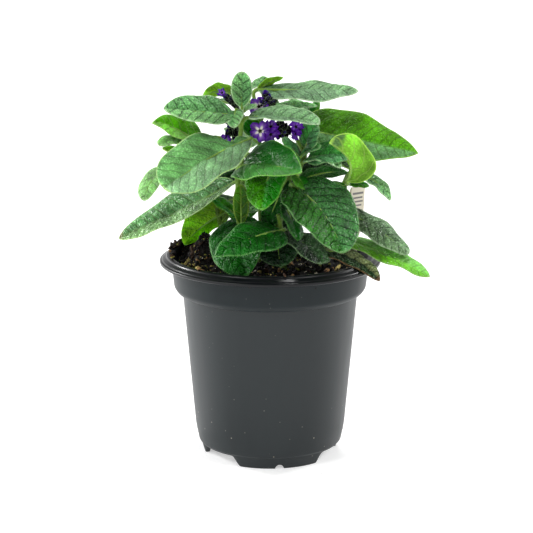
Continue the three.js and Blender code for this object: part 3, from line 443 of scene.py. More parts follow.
def bladePart(row, seed):
    _, neck, tip, width, face, fold, arch, bend, _, lookName = row[:10]
    look, form = leafLooks[lookName], bladeForm
    rng = np.random.default_rng(seed)
    neck, tip, n = (np.array(p, float) for p in (neck, tip, face))
    length = np.linalg.norm(tip - neck)
    c = (tip - neck) / length
    n = unit(n - c * (n @ c))
    b = np.cross(c, n)
    v, u = bladeGrid(length, width)
    swell, slope = 4 * v * (1 - v), 4 * (1 - 2 * v)
    middle = neck + length * (c * v + n * arch * swell + b * bend * swell)
    along = unit(c + n * arch * slope + b * bend * slope)
    up = unit(n - along * (along @ n)[:, None])
    side = np.cross(along, up)
    half, reach = bladeReach(row, v, u)
    x = reach * u  # across the blade from its rib

    veinRow, spacing = veinRows(x, u, v, length, width, seed)
    quilt, inside = quilting(x, u, v, veinRow, spacing, rng)
    ribDip = form["ribGroove"] * np.exp(-((x / form["ribWidth"]) ** 2)) * (1 - v)
    small = min(width / form["fullWidth"], 1)
    camber = form["camber"] * small * np.sin(math.pi * np.abs(u)) * np.sin(math.pi * v) ** 0.5
    relief = look["relief"] * small * quilt * inside - ribDip + camber
    turn = form["waveTurns"] * v + 1.7 * (seed % 100) + np.where(u > 0, 1.9, 0)
    ripple = form["wave"] * width * np.sin(turn) * u * u * np.sin(math.pi * v)
    lift = reach * np.abs(u) * math.sin(fold) + ripple
    flat = middle[:, None] + side[:, None] * (x * math.cos(fold))[..., None]
    centre = flat + up[:, None] * (lift + relief)[..., None]
    centre += form["buckle"] * small * up[:, None] * waves(centre, form["buckleLength"], seed)[..., None]
    offset = up[:, None] * (form["thickness"] / 2 * (1 - 0.5 * np.abs(u) ** 6))[..., None]
    points, faces = closedSheet(centre + offset, centre - offset)

    tint, under = bladeTints(look, x, v, centre, seed, rng)
    netSpan = 0.74 * np.abs(x) + 0.68 * v * length  # distance along the side veins
    edgeSpan = np.minimum(half * (1 - np.abs(u)), (1 - v) * length * 0.6)
    perPoint = {  # on the upper and on the lower face
        "veinRow": (veinRow, veinRow),
        "ribSpan": (np.abs(x), np.abs(x)),
        "netSpan": (netSpan, netSpan),
        "edgeSpan": (edgeSpan, edgeSpan),
        "veinGap": (spacing, spacing),
        "glow": (look["glow"], look["glow"]),
        "shine": (look["shine"], form["underShine"]),
        "fuzz": (look["fuzz"], form["underFuzzAndPaintedSheen"]),
        "relief": (look["relief"], look["relief"]),
        "rib": (look["rib"], form["underRib"]),
    }
    fields = {
        key: np.concatenate([np.broadcast_to(value, x.shape).ravel() for value in both])
        for key, both in perPoint.items()
    }
    fields["leafTint"] = np.concatenate([tint.reshape(-1, 3), under.reshape(-1, 3)])
    fields["edgeTint"] = np.tile(toLinear(look["edge"]), (2 * x.size, 1))
    t = np.linspace(0, form["ribEnd"], 14)[:, None]
    ribPath = neck + length * (c * t + (n * arch + b * bend) * 4 * t * (1 - t)) - n * form["ribDrop"]
    return {"points": points, "faces": faces, "fields": fields}, ribPath, c


stalkForm = dict(
    foot=86,  # lower ends of the stems, in the mix
    collar=104,  # where they begin to bend
    topRadius=1.0,
    stemTints=("#4f6a28", "#7aa03c"),
    petioleTints=("#6a8f32", "#8fb654"),
    petioleRadius=0.85,
    smallRadius=0.6,
    smallWidth=12,  # leaves narrower than this have a thin petiole
    sweep=0.45,  # how far a petiole leaves its blade straight on
    mark=99,  # a stalk's edgeSpan
)
bladeLimit = 50.0  # every blade's edgeSpan is less


def stemPoint(stem, place):
    start = np.array([*stem["foot"], stalkForm["collar"]], float)
    bend, top = np.array(stem["bend"], float), np.array(stem["top"], float)
    return (1 - place) ** 2 * start + 2 * place * (1 - place) * bend + place**2 * top


def stalkPart(path, radii, sides, tints, seed):
    points, faces = sweep(path, radii, sides)
    t = np.r_[np.repeat(np.linspace(0, 1, len(path)), sides), 0, 1][:, None]
    tint = toLinear(tints[0]) * (1 - t) + toLinear(tints[1]) * t
    tint *= (1 + 0.18 * waves(points, 7, seed))[:, None]
    plain = dict(veinRow=0.5, ribSpan=9, netSpan=0, edgeSpan=stalkForm["mark"], veinGap=5, glow=0.12,
                 shine=0.4, fuzz=0.4, relief=0.3, rib=0)
    fields = {key: np.full(len(points), float(value)) for key, value in plain.items()}
    fields.update(leafTint=tint, edgeTint=tint.copy())
    return {"points": points, "faces": faces, "fields": fields}


def leafyStemPart(stem, seed):
    form = stalkForm
    collar = np.array([*stem["foot"], form["collar"]], float)
    curve = bezier(collar, np.array(stem["bend"], float), np.array(stem["top"], float), 34)
    path = np.concatenate([[collar - [0, 0, form["collar"] - form["foot"]]], [collar - [0, 0, 6]], curve])
    radii = np.linspace(stem["radius"], form["topRadius"], len(path))
    radii *= 1 + 0.06 * np.sin(np.arange(len(path)) * 1.9)
    parts = [stalkPart(path, radii, 12, form["stemTints"], seed)]
    for index, row in enumerate(stem["leaves"]):
        blade, rib, c = bladePart(row, seed * 100 + index)
        parts.append(blade)
        start, neck = stemPoint(stem, row[0]), np.array(row[1], float)
        radius = form["smallRadius"] if row[3] < form["smallWidth"] else form["petioleRadius"]
        control = neck - c * form["sweep"] * np.linalg.norm(neck - start)
        stalk = np.concatenate([bezier(start, control, neck, 16)[:-1], rib])
        widths = np.r_[np.linspace(radius * 1.25, radius, 15), np.linspace(radius, 0.12, len(rib))]
        parts.append(stalkPart(stalk, widths, 10, form["petioleTints"], seed + index))
    return gather(parts)


tissueForm = dict(
    sideVein=(0.05, 0.5),  # from its middle, where it is deepest and where it ends
    midrib=(0.25, 0.7),
    margin=(0.25, 0.85),  # from the blade's edge
    netAcross=3.6,  # cells of the net between two side veins
    netAlong=0.8,  # and to a millimetre along them
    netLine=(0.02, 0.3),
    dome=0.65,
    grain=1.2,  # millimetres, as the mottle
    mottle=6.5,
    # down is the pale colour of the painted sheen laid on the cushion tops
    down="#a9c9a0",
    sheen="#c8e6c0",
    warmth=(1.6, 1.5, 0.3, 1),  # of the light that comes through
    bump=0.9,
)


# side veins, the rib, and the domes and lines of the net that is laid out along the side veins
def veinPattern(add, value):
    form = tissueForm
    phase = add("ShaderNodeMath", [value["veinRow"]], operation="FRACT")
    back = add("ShaderNodeMath", [1.0, phase], operation="SUBTRACT")
    near = add("ShaderNodeMath", [phase, back], operation="MINIMUM")
    off = add("ShaderNodeMath", [near, value["veinGap"]], operation="MULTIPLY")
    vein = add("ShaderNodeMapRange", [off, *form["sideVein"], 1.0, 0.0], interpolation_type="SMOOTHSTEP")
    rib = add("ShaderNodeMapRange", [value["ribSpan"], *form["midrib"], 1.0, 0.0])
    across = add("ShaderNodeMath", [value["veinRow"], form["netAcross"]], operation="MULTIPLY")
    along = add("ShaderNodeMath", [value["netSpan"], form["netAlong"]], operation="MULTIPLY")
    netPlace = add("ShaderNodeCombineXYZ", [across, along, value["veinGap"]])
    inputs = {"Vector": netPlace, "Scale": 1.0, "Randomness": 0.9}
    cells = add("ShaderNodeTexVoronoi", inputs)
    borders = add("ShaderNodeTexVoronoi", inputs, feature="DISTANCE_TO_EDGE")
    dome = add("ShaderNodeMapRange", [cells, 0.0, form["dome"], 1.0, 0.0])
    net = add("ShaderNodeMapRange", [borders, *form["netLine"], 1.0, 0.0])
    return vein, rib, dome, net


# the flesh's colour, with painted highlights on the domes, painted glints in random flecks and painted shade
# in the sunken veins and net lines
def fleshColour(add, value, tint, place, grain, vein, domeHighlight, net, isBlade):
    # painted shade: the sunken veins and the lines of the net are darkened
    lines = add("ShaderNodeMath", [net, 0.5], operation="MULTIPLY")
    shadedGrooves = add("ShaderNodeMath", [lines, vein], operation="MAXIMUM")
    shadedGroovesOnBlade = add("ShaderNodeMath", [shadedGrooves, isBlade], operation="MULTIPLY")
    depth = add("ShaderNodeMath", [value["relief"], 1.0], operation="MINIMUM")
    grooveShadeDepth = add("ShaderNodeMath", [depth, 0.7], operation="MULTIPLY")
    paintedGrooveShade = add("ShaderNodeMath", [shadedGroovesOnBlade, grooveShadeDepth], operation="MULTIPLY")
    mottle = add("ShaderNodeTexNoise", {
        "Vector": place, "Scale": 1000 / tissueForm["mottle"], "Detail": 2.0})
    spread = add("ShaderNodeMath", [mottle, 0.8, 0.6], operation="MULTIPLY_ADD")
    # painted highlight: the raised domes are lighter
    lighter = add("ShaderNodeMath", [domeHighlight, 0.22, spread], operation="MULTIPLY_ADD")
    # painted glints: random lighter and darker flecks from the grain
    glintFleck = add("ShaderNodeMapRange", [grain, 0.35, 0.7, -0.2, 0.25])
    withGlintFlecks = add("ShaderNodeMath", [glintFleck, value["relief"], lighter], operation="MULTIPLY_ADD")
    level = add("ShaderNodeMath", [withGlintFlecks, paintedGrooveShade], operation="SUBTRACT")
    least = add("ShaderNodeMath", [level, 0.25], operation="MAXIMUM")
    deepened = add("ShaderNodeMath", [least, 1.25], operation="POWER")
    grey = add("ShaderNodeCombineColor", [deepened, deepened, deepened])
    return add("ShaderNodeMix", {0: 1.0, 6: tint, 7: grey}, data_type="RGBA", blend_type="MULTIPLY")


# height of the fine relief, less of it where the skin shines
def skinHeight(add, value, grain, vein, dome, isBlade):
    raised = add("ShaderNodeMath", [dome, 0.9], operation="MULTIPLY")
    cut = add("ShaderNodeMath", [vein, 0.8], operation="MULTIPLY")
    carved = add("ShaderNodeMath", [raised, cut], operation="SUBTRACT")
    carvedBlade = add("ShaderNodeMath", [carved, isBlade], operation="MULTIPLY")
    shaped = add("ShaderNodeMath", [carvedBlade, value["relief"]], operation="MULTIPLY")
    rough = add("ShaderNodeMath", [grain, 0.45, shaped], operation="MULTIPLY_ADD")
    smooth = add("ShaderNodeMath", [value["shine"], -0.75, 1.2], operation="MULTIPLY_ADD")
    return add("ShaderNodeMath", [rough, smooth], operation="MULTIPLY")


# Living leaf: a waxy skin over green flesh, quilted by a net of sunken veins, with painted shade in the
# veins, painted highlights and a pale painted sheen on the raised parts, and thin enough to glow when lit
# from behind.
def leafTissue():
    material, add = newMaterial("heliotrope leaf tissue")
    form = tissueForm
    numbers = "veinRow ribSpan netSpan edgeSpan veinGap glow shine fuzz relief rib".split()
    value = {key: add("ShaderNodeAttribute", attribute_name=key).outputs["Fac"] for key in numbers}
    tint = add("ShaderNodeAttribute", attribute_name="leafTint").outputs["Color"]
    edge = add("ShaderNodeAttribute", attribute_name="edgeTint").outputs["Color"]
    place = add("ShaderNodeTexCoord").outputs["Object"]
    isBlade = add("ShaderNodeMath", [value["edgeSpan"], bladeLimit], operation="LESS_THAN")
    grain = add("ShaderNodeTexNoise", {
        "Vector": place, "Scale": 1000 / form["grain"], "Detail": 3.0, "Roughness": 0.7})
    vein, rib, dome, net = veinPattern(add, value)
    domeHighlight = add("ShaderNodeMath", [dome, value["relief"]], operation="MULTIPLY")
    body = fleshColour(add, value, tint, place, grain, vein, domeHighlight, net, isBlade)

    # painted sheen: the raised cushions are mixed towards the pale down colour
    domeSheen = add("ShaderNodeMapRange", [domeHighlight, 0.55, 0.95, 0.0, 3.4])
    paintedSheen = add("ShaderNodeMath", [domeSheen, value["fuzz"]], operation="MULTIPLY")
    thin = add("ShaderNodeMath", [paintedSheen, 0.5], operation="MINIMUM")
    domeSheenOnBlade = add("ShaderNodeMath", [thin, isBlade], operation="MULTIPLY")
    withPaintedSheen = add("ShaderNodeMix", {0: domeSheenOnBlade, 6: body, 7: rgba(form["down"])}, data_type="RGBA")
    veins = add("ShaderNodeMath", [rib, vein], operation="MAXIMUM")
    paleVeins = add("ShaderNodeMath", [veins, value["rib"]], operation="MULTIPLY")
    paleBlade = add("ShaderNodeMath", [paleVeins, isBlade], operation="MULTIPLY")
    veined = add("ShaderNodeMix", {0: paleBlade, 6: withPaintedSheen, 7: edge}, data_type="RGBA")
    margin = add("ShaderNodeMapRange", [value["edgeSpan"], *form["margin"], 0.85, 0.0])
    colour = add("ShaderNodeMix", {0: margin, 6: veined, 7: edge}, data_type="RGBA")

    height = skinHeight(add, value, grain, vein, dome, isBlade)
    bump = add("ShaderNodeBump", {"Height": height, "Strength": 1.0, "Distance": form["bump"] * mm})
    roughness = add("ShaderNodeMath", [value["shine"], -0.3, 0.5], operation="MULTIPLY_ADD")
    gleam = add("ShaderNodeMath", [value["shine"], 0.5, 0.02], operation="MULTIPLY_ADD")
    skin = add("ShaderNodeBsdfPrincipled", {
        "Base Color": colour, "Roughness": roughness, "Normal": bump, "IOR": 1.45,
        "Specular IOR Level": gleam, "Sheen Weight": value["fuzz"], "Sheen Roughness": 0.35,
        "Sheen Tint": rgba(form["sheen"]),
    })
    warmer = add("ShaderNodeMix", {0: 1.0, 6: colour, 7: form["warmth"]},
                 data_type="RGBA", blend_type="MULTIPLY")
    through = add("ShaderNodeBsdfTranslucent", {"Color": warmer, "Normal": bump})
    both = add("ShaderNodeMixShader", [value["glow"], skin, through])
    add("ShaderNodeOutputMaterial", {"Surface": both})
    return material


hairForm = dict(
    radius=0.045,
    lean=0.5,  # how far a hair may lean away from upright
    shortest=0.5,  # as a part of the longest
    seed=5,
    onLeaves=dict(Density=2 / mm**2, Length=0.9 * mm, Edge=0.5, Stalk=bladeLimit),
    onCalyces=dict(Density=2.5 / mm**2, Length=0.7 * mm, Edge=1.0, Stalk=bladeLimit),
)


# Short stiff hairs, pale and half clear, that give stalks, blade edges and calyces their soft outline.
def clearHair():
    material, add = newMaterial("clear leaf hair")
    place = add("ShaderNodeTexCoord").outputs["Object"]
    noise = add("ShaderNodeTexNoise", {"Vector": place, "Scale": 1000 / 4})
    tint = add("ShaderNodeMix", {0: noise, 6: rgba("#a9cf8e"), 7: rgba("#d4e6c6")}, data_type="RGBA")
    stiff = add("ShaderNodeBsdfPrincipled", {"Base Color": tint, "Roughness": 0.4, "IOR": 1.4})
    through = add("ShaderNodeBsdfTranslucent", {"Color": tint})
    add("ShaderNodeOutputMaterial", {"Surface": add("ShaderNodeMixShader", [0.4, stiff, through])})
    return material


def geometryTree(name, *labels):
    tree = bpy.data.node_groups.new(name, "GeometryNodeTree")
    tree.interface.new_socket("Geometry", in_out="INPUT", socket_type="NodeSocketGeometry")
    for label in labels:
        tree.interface.new_socket(label, in_out="INPUT", socket_type="NodeSocketFloat")
    tree.interface.new_socket("Geometry", in_out="OUTPUT", socket_type="NodeSocketGeometry")
    return tree, nodeAdder(tree)


def applyModifiers(piece):
    bpy.context.view_layer.update()
    done = bpy.data.meshes.new_from_object(piece.evaluated_get(bpy.context.evaluated_depsgraph_get()))
    piece.modifiers.clear()
    piece.data = done


def grow(piece, tree, values):
    modifier = piece.modifiers.new(tree.name, "NODES")
    modifier.node_group = tree
    for socket in tree.interface.items_tree:
        if socket.in_out == "INPUT" and socket.name in values:
            modifier[socket.identifier] = values[socket.name]
    applyModifiers(piece)


# hairs stand where edgeSpan, the distance to the blade's edge, is below Edge or above Stalk. Calyces have
# no edgeSpan, which reads as 0, so they are hairy all over.
def hairTree(material):
    tree, add = geometryTree("fine hairs", "Density", "Length", "Edge", "Stalk")
    seed, lean, shortest = hairForm["seed"], hairForm["lean"], hairForm["shortest"]
    given = add("NodeGroupInput").outputs
    span = add("GeometryNodeInputNamedAttribute", {"Name": "edgeSpan"}, data_type="FLOAT")
    atEdge = add("FunctionNodeCompare", [span, given["Edge"]], operation="LESS_THAN")
    onStalk = add("FunctionNodeCompare", [span, given["Stalk"]], operation="GREATER_THAN")
    chosen = add("FunctionNodeBooleanMath", [atEdge, onStalk], operation="OR")
    spots = add("GeometryNodeDistributePointsOnFaces", {
        "Mesh": given["Geometry"], "Selection": chosen, "Density": given["Density"], "Seed": seed})
    hair = add("GeometryNodeMeshCone", {
        "Vertices": 3, "Side Segments": 1, "Radius Top": 0.0, "Radius Bottom": hairForm["radius"] * mm,
        "Depth": 1.0})
    sway = add("FunctionNodeRandomValue", {"Min": (-lean,) * 3, "Max": (lean,) * 3, "Seed": seed + 1},
               data_type="FLOAT_VECTOR")
    way = add("ShaderNodeVectorMath", [spots.outputs["Normal"], sway], operation="ADD")
    stand = add("FunctionNodeAlignRotationToVector", {"Vector": way}, axis="Z")
    share = add("FunctionNodeRandomValue", {2: shortest, 3: 1.0, "Seed": seed + 2}, data_type="FLOAT")
    tall = add("ShaderNodeMath", [given["Length"], share], operation="MULTIPLY")
    scale = add("ShaderNodeCombineXYZ", [1.0, 1.0, tall])
    placed = add("GeometryNodeInstanceOnPoints", {
        "Points": spots.outputs["Points"], "Instance": hair, "Rotation": stand, "Scale": scale})
    dressed = add("GeometryNodeSetMaterial", {
        "Geometry": add("GeometryNodeRealizeInstances", [placed]), "Material": material})
    joined = add("GeometryNodeJoinGeometry", [dressed])
    tree.links.new(given["Geometry"], joined.inputs[0])
    add("NodeGroupOutput", [joined])
    return tree


leafMaterial = leafTissue()
hairs = hairTree(clearHair())
for number, (name, stem) in enumerate(stems.items(), 1):  # the number seeds the stem's waves
    piece = meshObject(f"leafy_stem_{name}_foliage", leafyStemPart(stem, number), leafMaterial)
    grow(piece, hairs, hairForm["onLeaves"])
    settle(piece, "foliage", f"leafy_stem_{name}")
    print("leafy stem", name, len(piece.data.polygons), "faces")

potForm = dict(
    height=106.5,
    lip=57.4,
    sectors=360,
    ledge=5.8,  # height of the slots between the feet
    feet=3,
    facing=-82,  # degrees, to the middle of a foot
    slotTop=17.5,  # degrees from a slot's middle to its side at the ledge
    slotFoot=25.5,  # and on the ground
    footInside=31.5,
    footMiddle=33.7,
    notch=2.2,  # radius of the small arch under each foot
    drain=3.6,  # radius of a drain hole
    drainRing=26,
    drainDepth=8,
    floor=6.2,
    sharpAngle=38,
)


# corners are (radius, height, how much of the corner is rounded off)
def roundedOutline(corners, steps=4):
    out = []
    for i, (r, z, soft) in enumerate(corners):
        here = np.array([r, z])
        if soft == 0:
            out.append(here)
            continue
        before, after = (np.array(corners[k][:2]) - here for k in (i - 1, i + 1))
        a, b = (here + unit(way) * min(soft, np.linalg.norm(way) / 2.1) for way in (before, after))
        out += list(bezier(a, here, b, steps + 1))
    return np.array(out)


def potPart():
    form = potForm
    h, lip, drain = form["height"], form["lip"], form["drain"]
    underside = [(drain, 5.4, 0), (20, 5.4, 0), (32.2, 5.4, 0.4)]
    foot = [(32.6, 0, 0.4), (34.8, 0, 0.6), (36.6, 6.2, 0.4), (37.5, 6.8, 0.8)]
    wall = [(39.1, 14, 4), (45.6, 86.4, 0.4)]
    collar = [(48.4, 87.1, 0.8), (50.0, 89.4, 1.2), (51.2, 101.0, 0.8), (51.6, 102.6, 0.8)]
    rim = [
        (lip - 0.8, h - 4.9, 0.3), (lip, h - 4.3, 0.3), (lip - 0.1, h - 3.1, 0.3), (56.4, h - 2.8, 0.2),
        (55.9, h - 2.2, 0.2), (54.2, h - 1.2, 0.3), (53.7, h - 0.4, 0.3), (52.2, h, 0.6),
        (51.2, h - 0.3, 0.4),
    ]
    inside = [
        (49.9, h - 4.5, 0.8), (48.8, 90.4, 0.8), (47.4, 88.6, 0.8), (44.3, 87.8, 0.8), (37.8, 14, 3),
        (36.2, 7.6, 0.6), (20, 7.0, 0), (drain, 7.0, 0),
    ]
    outline = roundedOutline(underside + foot + wall + collar + rim + inside)
    angle = np.linspace(0, 2 * math.pi, form["sectors"], endpoint=False)
    turn = 360 / form["feet"]
    fromSlot = np.abs((np.degrees(angle) - form["facing"]) % turn - turn / 2)
    cut = np.clip((form["slotFoot"] - fromSlot) / (form["slotFoot"] - form["slotTop"]), 0, 1)
    fromFoot = np.radians(turn / 2 - fromSlot) * form["footMiddle"]
    notch = np.sqrt(np.clip(form["notch"] ** 2 - fromFoot**2, 0, None))
    lowest = np.maximum(cut * form["ledge"], notch)
    r, z = outline[:, :1] + 0 * angle, outline[:, 1:] + 0 * angle
    onFoot = (r > form["footInside"]) & (z < form["ledge"] + 0.1)
    z = np.where(onFoot, np.maximum(z, lowest), z)
    points = np.stack([r * np.cos(angle), r * np.sin(angle), z], -1).reshape(-1, 3)
    k = np.arange(len(angle))
    last = (len(outline) - 1) * len(angle)
    ahead = (k + 1) % len(angle)
    drainWall = np.stack([k + last, ahead + last, ahead, k], -1)
    shell = gridFaces(len(outline), len(angle), closed=True)
    return {"points": points, "faces": [shell, drainWall], "fields": {}}


# Moulded polypropylene, black-grey: satin wall with faint flow marks, polished lip and a little dust.
def mouldedPlastic():
    material, add = newMaterial("moulded polypropylene")
    place = add("ShaderNodeTexCoord").outputs["Object"]
    height = add("ShaderNodeSeparateXYZ", [place]).outputs[2]
    onLip = add("ShaderNodeMapRange", [height, 100.8 * mm, 102.2 * mm])
    onCollar = add("ShaderNodeMapRange", [height, 86 * mm, 90 * mm])
    drawn = add("ShaderNodeMapping", {"Vector": place, "Scale": (1, 1, 0.12)})
    flow = add("ShaderNodeTexNoise", {"Vector": drawn, "Scale": 1000 / 9, "Detail": 4.0})
    grain = add("ShaderNodeTexNoise", {"Vector": place, "Scale": 1000 / 0.7, "Detail": 2.0})
    cells = add("ShaderNodeTexVoronoi", {"Vector": place, "Scale": 1000 / 4.6})
    speck = add("ShaderNodeMapRange", [cells, 0.05, 0.085, 0.8, 0.0])
    lowDust = add("ShaderNodeMapRange", [height, 12 * mm, 50 * mm, 1.0, 0.12])
    drift = add("ShaderNodeTexNoise", {"Vector": place, "Scale": 1000 / 22, "Detail": 2.0})
    some = add("ShaderNodeMapRange", [drift, 0.45, 0.6])
    dusty = add("ShaderNodeMath", [speck, lowDust], operation="MULTIPLY")
    dust = add("ShaderNodeMath", [dusty, some], operation="MULTIPLY")
    wall = add("ShaderNodeMix", {0: flow, 6: rgba("#10171a"), 7: rgba("#1a2224")}, data_type="RGBA")
    body = add("ShaderNodeMix", {0: onLip, 6: wall, 7: rgba("#04060a")}, data_type="RGBA")
    colour = add("ShaderNodeMix", {0: dust, 6: body, 7: rgba("#a8a294")}, data_type="RGBA")
    sheen = add("ShaderNodeMath", [onCollar, -0.18, 0.38], operation="MULTIPLY_ADD")
    gloss = add("ShaderNodeMath", [onLip, 0.1, sheen], operation="MULTIPLY_ADD")
    satin = add("ShaderNodeMath", [flow, 0.2, 0.34], operation="MULTIPLY_ADD")
    polished = add("ShaderNodeMath", [onLip, -0.12, satin], operation="MULTIPLY_ADD")
    roughness = add("ShaderNodeMath", [polished, dust], operation="MAXIMUM")
    bump = add("ShaderNodeBump", {"Height": grain, "Strength": 0.12, "Distance": 0.1 * mm})
    inputs = {"Base Color": colour, "Roughness": roughness, "Normal": bump, "IOR": 1.49,
              "Specular IOR Level": gloss}
    add("ShaderNodeOutputMaterial", {"Surface": add("ShaderNodeBsdfPrincipled", inputs)})
    return material


def drainHoles(piece):
    cutter = bmesh.new()
    for i in range(potForm["feet"]):
        angle = math.radians(potForm["facing"] + 180 / potForm["feet"] + 360 / potForm["feet"] * i)
        spot = Vector((math.cos(angle), math.sin(angle), 0)) * potForm["drainRing"]
        spot.z = potForm["floor"]
        radius, depth = potForm["drain"] * mm, potForm["drainDepth"] * mm
        made = bmesh.ops.create_cone(
            cutter, cap_ends=True, segments=32, radius1=radius, radius2=radius, depth=depth)
        bmesh.ops.translate(cutter, verts=made["verts"], vec=spot * mm)
    mesh = bpy.data.meshes.new("drain cutter")
    cutter.to_mesh(mesh)
    tool = bpy.data.objects.new("drain cutter", mesh)
    bpy.context.scene.collection.objects.link(tool)
    cut = piece.modifiers.new("drain holes", "BOOLEAN")
    cut.object, cut.operation, cut.solver = tool, "DIFFERENCE", "EXACT"
    applyModifiers(piece)
    bpy.data.objects.remove(tool)


potPiece = meshObject("nursery_pot", potPart(), mouldedPlastic(), potForm["sharpAngle"])
drainHoles(potPiece)
settle(potPiece, "pot_plastic", "pot")
print("pot", len(potPiece.data.polygons), "faces")

soilForm = dict(
    level=100.6,
    radius=49.4,
    rings=70,
    sectors=260,
    clump=(-35, 1, 16, 4.2),  # x, y, height and spread
    bank=(-41, 25, 6, 9),
    hollow=(-45, 4, 5, 5),  # x, y, depth and spread
    rimTop=106.9,  # lumps that fall on the pot's lip lie here
    farthest=54,
    onRim=52,
    crumbs=0.44,  # a square millimetre
    smallest=0.3,
    largest=2.2,
    seed=7,
    # x, y, spread, how many, their size, and where their shades begin and end in the mix's colours
    heaps=[
        (-35, 1, 4.5, 170, 1.5, 0.01, 0.75), (-43, -10, 2.8, 60, 1.1, 0.84, 0.97),
        (-40, -3, 5, 70, 1.2, 0.3, 0.97), (-51, 18, 3.6, 70, 1.2, 0.3, 0.75),
        (-42, 28, 5, 60, 1.2, 0.1, 0.7), (-36, -38.5, 0.9, 7, 1.3, 0.76, 0.85),
        (2, -40, 5, 60, 1.1, 0.5, 0.9), (28, -36, 4, 40, 1.1, 0.5, 0.9),
    ],
)


def soilHeight(x, y):
    def bell(px, py, tall, s):
        return tall * np.exp(-((x - px) ** 2 + (y - py) ** 2) / (2 * s * s))

    swell = 0.9 * np.sin(0.43 * x + 1.1) * np.cos(0.38 * y - 0.7) + 0.6 * np.sin(0.71 * x - 0.53 * y)
    heap = bell(*soilForm["clump"]) + bell(*soilForm["bank"])
    return soilForm["level"] + swell + heap - bell(*soilForm["hollow"])


def soilPart():
    form = soilForm
    angle = np.linspace(0, 2 * math.pi, form["sectors"], endpoint=False)
    r = form["radius"] * np.linspace(0.01, 1, form["rings"])[:, None] ** 0.8
    x, y = r * np.cos(angle), r * np.sin(angle)
    flat = np.stack([x, y], -1)
    z = soilHeight(x, y) + 1.1 * waves(flat, 8, 3) + 0.8 * waves(flat, 3.4, 4) + 0.4 * waves(flat, 1.6, 5)
    top = np.stack([x, y, z], -1)
    inner = [(48.5, 90.4), (46.9, 89), (44.0, 87.8), (37.5, 14), (35.8, 8), (1, 7.4)]  # radius, height
    side = [np.stack([a * np.cos(angle), a * np.sin(angle), b + 0 * angle], -1)[None] for a, b in inner]
    rings = np.concatenate([top, *side])[::-1]
    points, faces = cappedRings(rings, [0, 0, 7.4], [0, 0, z[0].mean()])
    body = {"points": points, "faces": faces, "fields": {"crumbShade": np.zeros(len(points))}}
    return gather([body] + heapedLumps())


def heapedLumps():
    seedBody = bmesh.new()
    bmesh.ops.create_icosphere(seedBody, subdivisions=1, radius=1)
    shape = np.array([v.co for v in seedBody.verts])
    faces = np.array([[v.index for v in f.verts] for f in seedBody.faces])
    seedBody.free()
    form, lumps = soilForm, []
    rng = np.random.default_rng(form["seed"])
    for x, y, spread, count, size, low, high in form["heaps"]:
        for _ in range(count):
            px, py = rng.normal((x, y), spread)
            r = math.hypot(px, py)
            if r > form["farthest"]:
                px, py, r = px * form["onRim"] / r, py * form["onRim"] / r, form["onRim"]
            z = soilHeight(px, py) if r < form["radius"] + 0.1 else form["rimTop"]
            scale = size * rng.uniform(0.3, 1.2) * rng.uniform((0.6, 0.4, 0.35), (1.4, 1.0, 0.8))
            turned = (shape * scale * rng.uniform(0.8, 1.2, shape.shape)) @ turnMatrix(rng)
            points = turned + [px, py, z + 0.3 * size]
            shade = np.full(len(points), rng.uniform(low, high))
            lumps.append({"points": points, "faces": [faces], "fields": {"crumbShade": shade}})
    return lumps


def turnMatrix(rng):
    turn, _ = np.linalg.qr(rng.normal(size=(3, 3)))
    return turn * np.sign(np.linalg.det(turn))


# Peat and bark mix: near-black fibre, tan bark, a few white perlite grains and dry moss.
def pottingMix():
    material, add = newMaterial("peat and bark mix")
    place = add("ShaderNodeTexCoord").outputs["Object"]
    noise = add("ShaderNodeTexNoise", {"Vector": place, "Scale": 1000 / 3.2, "Detail": 6.0, "Roughness": 0.7})
    fine = add("ShaderNodeTexNoise", {"Vector": place, "Scale": 1000 / 0.8, "Detail": 3.0})
    ground = add("ShaderNodeValToRGB", [noise])
    stops = ground.color_ramp.elements
    stops[0].position, stops[0].color = 0.42, rgba("#040302")
    stops[1].position, stops[1].color = 0.85, rgba("#1e140c")
    shade = add("ShaderNodeAttribute", attribute_name="crumbShade").outputs["Fac"]
    crumb = add("ShaderNodeValToRGB", [shade])
    crumb.color_ramp.interpolation = "CONSTANT"
    mixture = [(0.001, "#0c0806"), (0.4, "#170e08"), (0.62, "#382414"), (0.76, "#8a6a44"), (0.84, "#a8985a"),
               (0.9, "#7f7c34"), (0.965, "#cfc8b4")]
    for position, tint in mixture:
        crumb.color_ramp.elements.new(position).color = rgba(tint)
    isCrumb = add("ShaderNodeMath", [shade, 0.001], operation="GREATER_THAN")
    colour = add("ShaderNodeMix", {0: isCrumb, 6: ground, 7: crumb}, data_type="RGBA")
    mottle = add("ShaderNodeMapRange", [fine, 0.3, 0.7, 0.6, 1.2])
    grey = add("ShaderNodeCombineColor", [mottle, mottle, mottle])
    worn = add("ShaderNodeMix", {0: 1.0, 6: colour, 7: grey}, data_type="RGBA", blend_type="MULTIPLY")
    bump = add("ShaderNodeBump", {"Height": fine, "Strength": 0.8, "Distance": 0.6 * mm})
    inputs = {"Base Color": worn, "Roughness": 0.9, "Normal": bump, "IOR": 1.4}
    add("ShaderNodeOutputMaterial", {"Surface": add("ShaderNodeBsdfPrincipled", inputs)})
    return material


